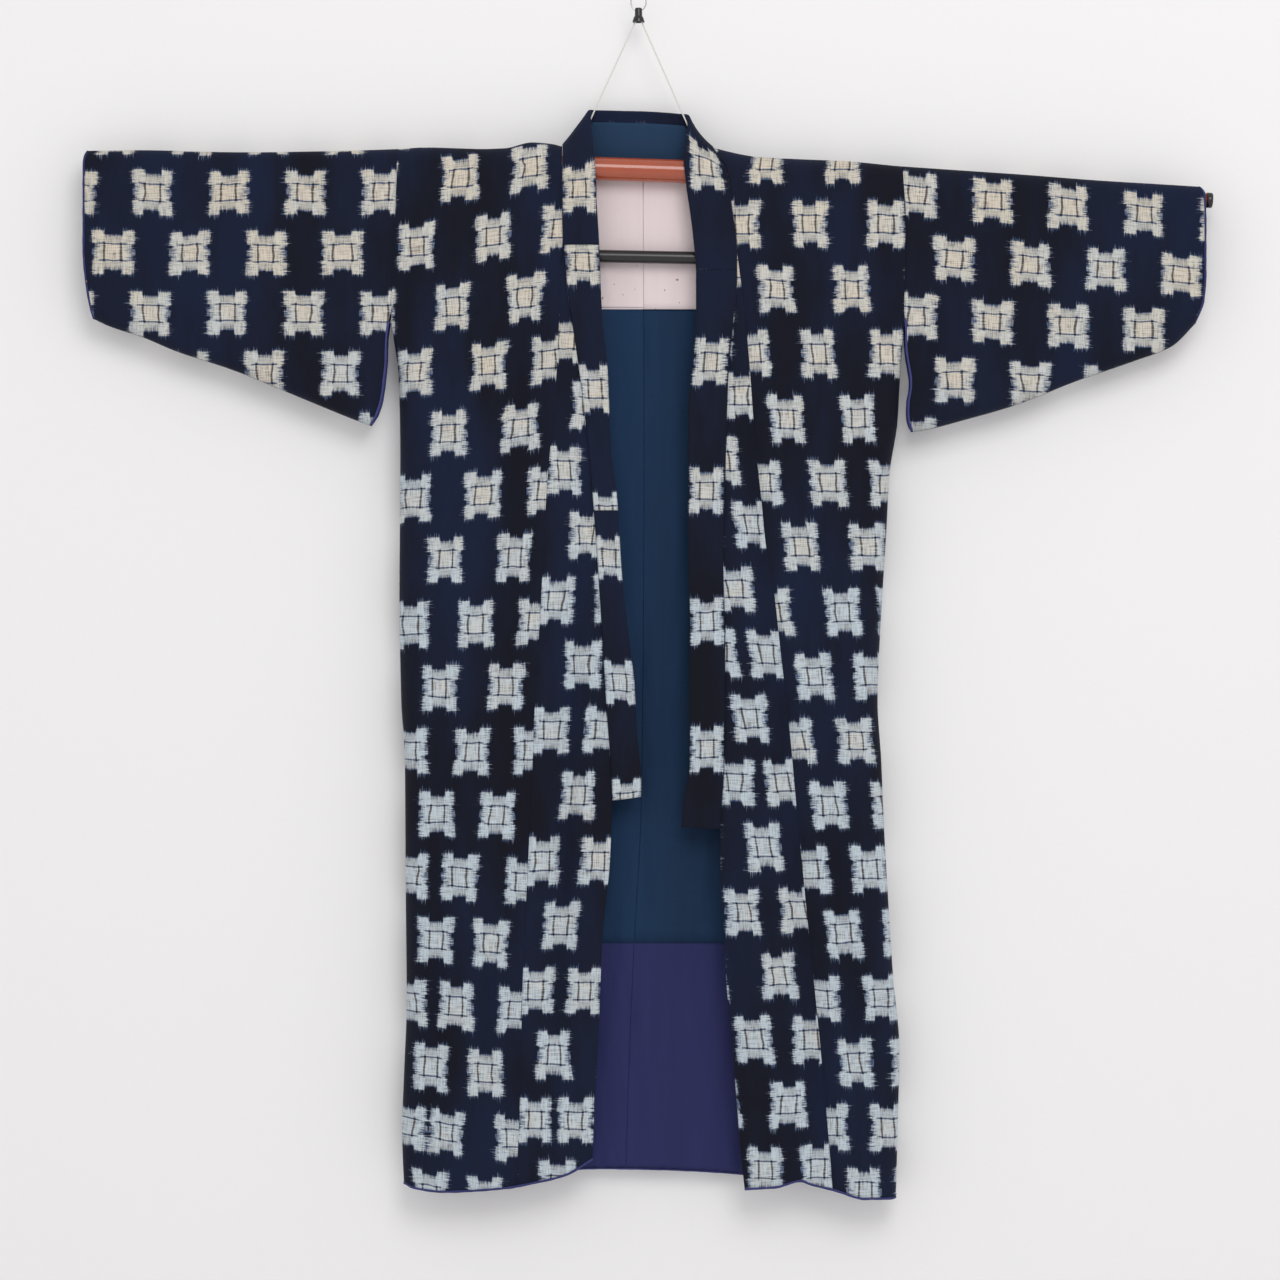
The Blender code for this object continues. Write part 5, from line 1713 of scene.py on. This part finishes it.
    def cord_path(self) -> Array:
        """The cord's route in metres, its corners rounded.

        It comes up from the knot under the bar, through bar and tube, slants
        up to the ferrule, and goes down again on the other side.
        """
        route = []
        for half in (-1, 1):
            x = half * self.cord_x
            height = float(axis_drop(x))
            foot = (x, 0.0, -(self.bar_drop(x) + self.bar_radius + 1.2))
            bend = (x, 0.0, -(height - self.tube_radius - 1.8))
            eye = [(half * 2.4, 0.0, -28.6), (half * 1.9, 0.0, -27.6), (half * 1.0, 0.0, -27.0)]
            leg = [foot, bend] + eye
            route += leg if half < 0 else leg[::-1]
        corners = np.array(route)
        pieces = []
        for a, b in zip(corners[:-1], corners[1:]):
            count = max(2, int(np.linalg.norm(b - a) / 0.8))
            pieces.append(a + (b - a) * np.linspace(0, 1, count, endpoint=False)[:, None])
        line = np.concatenate(pieces + [corners[-1:]])
        window = np.ones(7) / 7
        padded = np.pad(line, ((3, 3), (0, 0)), mode="edge")
        rounded = np.stack([np.convolve(padded[:, k], window, "valid") for k in range(3)], axis=-1)
        rounded[0], rounded[-1] = line[0], line[-1]
        return rounded * MM

    def build_cord(self) -> None:
        """The twisted cord, its three strands turning once in 3.2 mm."""
        path = self.cord_path()

        def strands(along: Array, angle: Array) -> Array:
            lay = along / MM * 2 * np.pi / CORD_LAY - angle
            return self.cord_radius * MM * (0.8 + 0.22 * np.abs(np.sin(CORD_STRANDS / 2 * lay)))

        piece = swept_mesh("twisted_cord", path, strands, 12)
        seat(piece, [self.finishes.cord], "white_cord", "cord")
        knots = [self.knot(half) for half in Half]

    def build_ring(self) -> None:
        """The black ferrule and the wire ring in its eye."""
        profile = [
            (0, 0), (0, 2.4), (0.2, 3.0), (0.8, 3.7), (1.6, 4.0), (8.6, 4.1), (9.4, 4.45),
            (10.0, 5.0), (11.5, 5.6), (15.6, 6.8), (16.0, 6.7), (16.0, 6.0), (11.6, 4.6),
            (10.2, 4.0), (9.8, 0),
        ]
        piece = turned_mesh("ferrule_shell", (0, 0, -15.6), (0, 0, -31.6), profile, 48)
        seat(piece, [self.finishes.black], "black_trim", "ferrule")
        angle = np.linspace(0, 2 * np.pi, 72, endpoint=False)
        ring = np.stack([8.3 * np.sin(angle), 0 * angle, -9.2 + 10.0 * np.cos(angle)], axis=-1) * MM
        wire = 0.8 * MM
        piece = swept_mesh("wire_ring", ring, lambda along, turn: wire + 0 * (along + turn), 16, True)
        seat(piece, [self.finishes.steel], "steel_ring", "ring")


# The room


@dataclass
class Studio:
    """Off-white wall and floor, soft light from the front and the upper left, and the camera."""

    wall_colour: Colour = (0.865, 0.858, 0.862)
    wall_gap: float = 0.034
    floor_height: float = -1.75
    view_width: float = 1.408
    view_centre: tuple[float, float] = (0.00165, -0.711)
    camera_distance: float = 5.0
    sensor: float = 36.0
    lamp_size: float = 2.0
    lamp_power: float = 52.0
    lamp_place: tuple[float, float, float] = (0.7, -3.6, 1.6)
    lamp_aim: tuple[float, float, float] = (0.0, 0.0, -0.65)

    def build(self) -> None:
        """Camera, light, wall and floor."""
        self.build_camera()
        self.build_light()
        self.build_room()

    def build_camera(self) -> None:
        """A long lens square to the wall, as wide at the garment as the photograph."""
        lens = bpy.data.cameras.new("camera")
        lens.sensor_width = self.sensor
        lens.lens = self.sensor * self.camera_distance / self.view_width
        camera = bpy.data.objects.new("camera", lens)
        camera.location = (self.view_centre[0], -self.camera_distance, self.view_centre[1])
        camera.rotation_euler = (math.pi / 2, 0, 0)
        bpy.context.scene.collection.objects.link(camera)
        bpy.context.scene.camera = camera

    def build_light(self) -> None:
        """An even pale sky and one large soft lamp."""
        scene = bpy.context.scene
        scene.view_settings.view_transform = "Standard"
        world = bpy.data.worlds.new("room")
        world.use_nodes = True
        tree = world.node_tree
        fill = tree.nodes["Background"]
        fill.inputs["Color"].default_value = rgba((1.0, 0.995, 0.995))
        fill.inputs["Strength"].default_value = 0.8
        seen = tree.nodes.new("ShaderNodeBackground")
        seen.inputs["Color"].default_value = rgba(self.wall_colour)
        ray = tree.nodes.new("ShaderNodeLightPath")
        mix = tree.nodes.new("ShaderNodeMixShader")
        tree.links.new(ray.outputs["Is Camera Ray"], mix.inputs[0])
        tree.links.new(fill.outputs[0], mix.inputs[1])
        tree.links.new(seen.outputs[0], mix.inputs[2])
        tree.links.new(mix.outputs[0], tree.nodes["World Output"].inputs["Surface"])
        scene.world = world
        lamp = bpy.data.lights.new("window", "AREA")
        lamp.shape = "SQUARE"
        lamp.size = self.lamp_size
        lamp.energy = self.lamp_power
        lamp.color = (1.0, 0.995, 0.985)
        made = bpy.data.objects.new("window", lamp)
        made.location = self.lamp_place
        aim = np.array(self.lamp_aim) - np.array(made.location)
        made.rotation_euler = (math.atan2(math.hypot(aim[0], aim[1]), -aim[2]), 0,
                               math.atan2(aim[1], aim[0]) - math.pi / 2)
        scene.collection.objects.link(made)

    def build_room(self) -> None:
        """A wall close behind the garment that is clear from behind, and a floor."""
        shader = Shader("wall_paint")
        speckle = shader.noise(shader.place(), 260.0)
        paint = shader.mixed(speckle, shade(self.wall_colour, 0.985), self.wall_colour)
        shader.dress({"Base Color": paint, "Roughness": 0.95, "Specular IOR Level": 0.1})
        tree = shader.tree
        facing = tree.nodes.new("ShaderNodeNewGeometry")
        clear = tree.nodes.new("ShaderNodeBsdfTransparent")
        mix = tree.nodes.new("ShaderNodeMixShader")
        tree.links.new(facing.outputs["Backfacing"], mix.inputs[0])
        tree.links.new(shader.surface.outputs[0], mix.inputs[1])
        tree.links.new(clear.outputs[0], mix.inputs[2])
        tree.links.new(mix.outputs[0], tree.nodes["Material Output"].inputs["Surface"])
        y, low, high, wide = self.wall_gap, self.floor_height, 3.0, 7.0
        corners = np.array([[-wide, y, low], [wide, y, low], [wide, y, high], [-wide, y, high]])
        back = make_mesh("wall", corners, [[0, 1, 2, 3]])
        back.data.materials.append(shader.material)
        back.visible_shadow = False
        back.visible_diffuse = False
        back.visible_glossy = False
        corners = wide * np.array([[-1.0, -1, 0], [1, -1, 0], [1, 1, 0], [-1, 1, 0]])
        floor = make_mesh("floor", corners + [0.0, 0.0, low], [[0, 1, 2, 3]])
        paint = Shader("floor_paint").dress({"Base Color": self.wall_colour, "Roughness": 0.9})
        floor.data.materials.append(paint)


def main() -> None:
    """Build the room, the hanger and the garment, piece by piece."""
    logging.basicConfig(level=logging.INFO, format="%(name)s: %(message)s")
    Studio().build()
    finishes = Finishes()
    Hanger(finishes).build()
    for half in Half:
        body = BodyLength(half, finishes)
        body.build()
        body.lining()
        Okumi(half, finishes).build()
        Sleeve(half, finishes).build()
    Band(finishes).build()


if __name__ == "__main__":
    main()
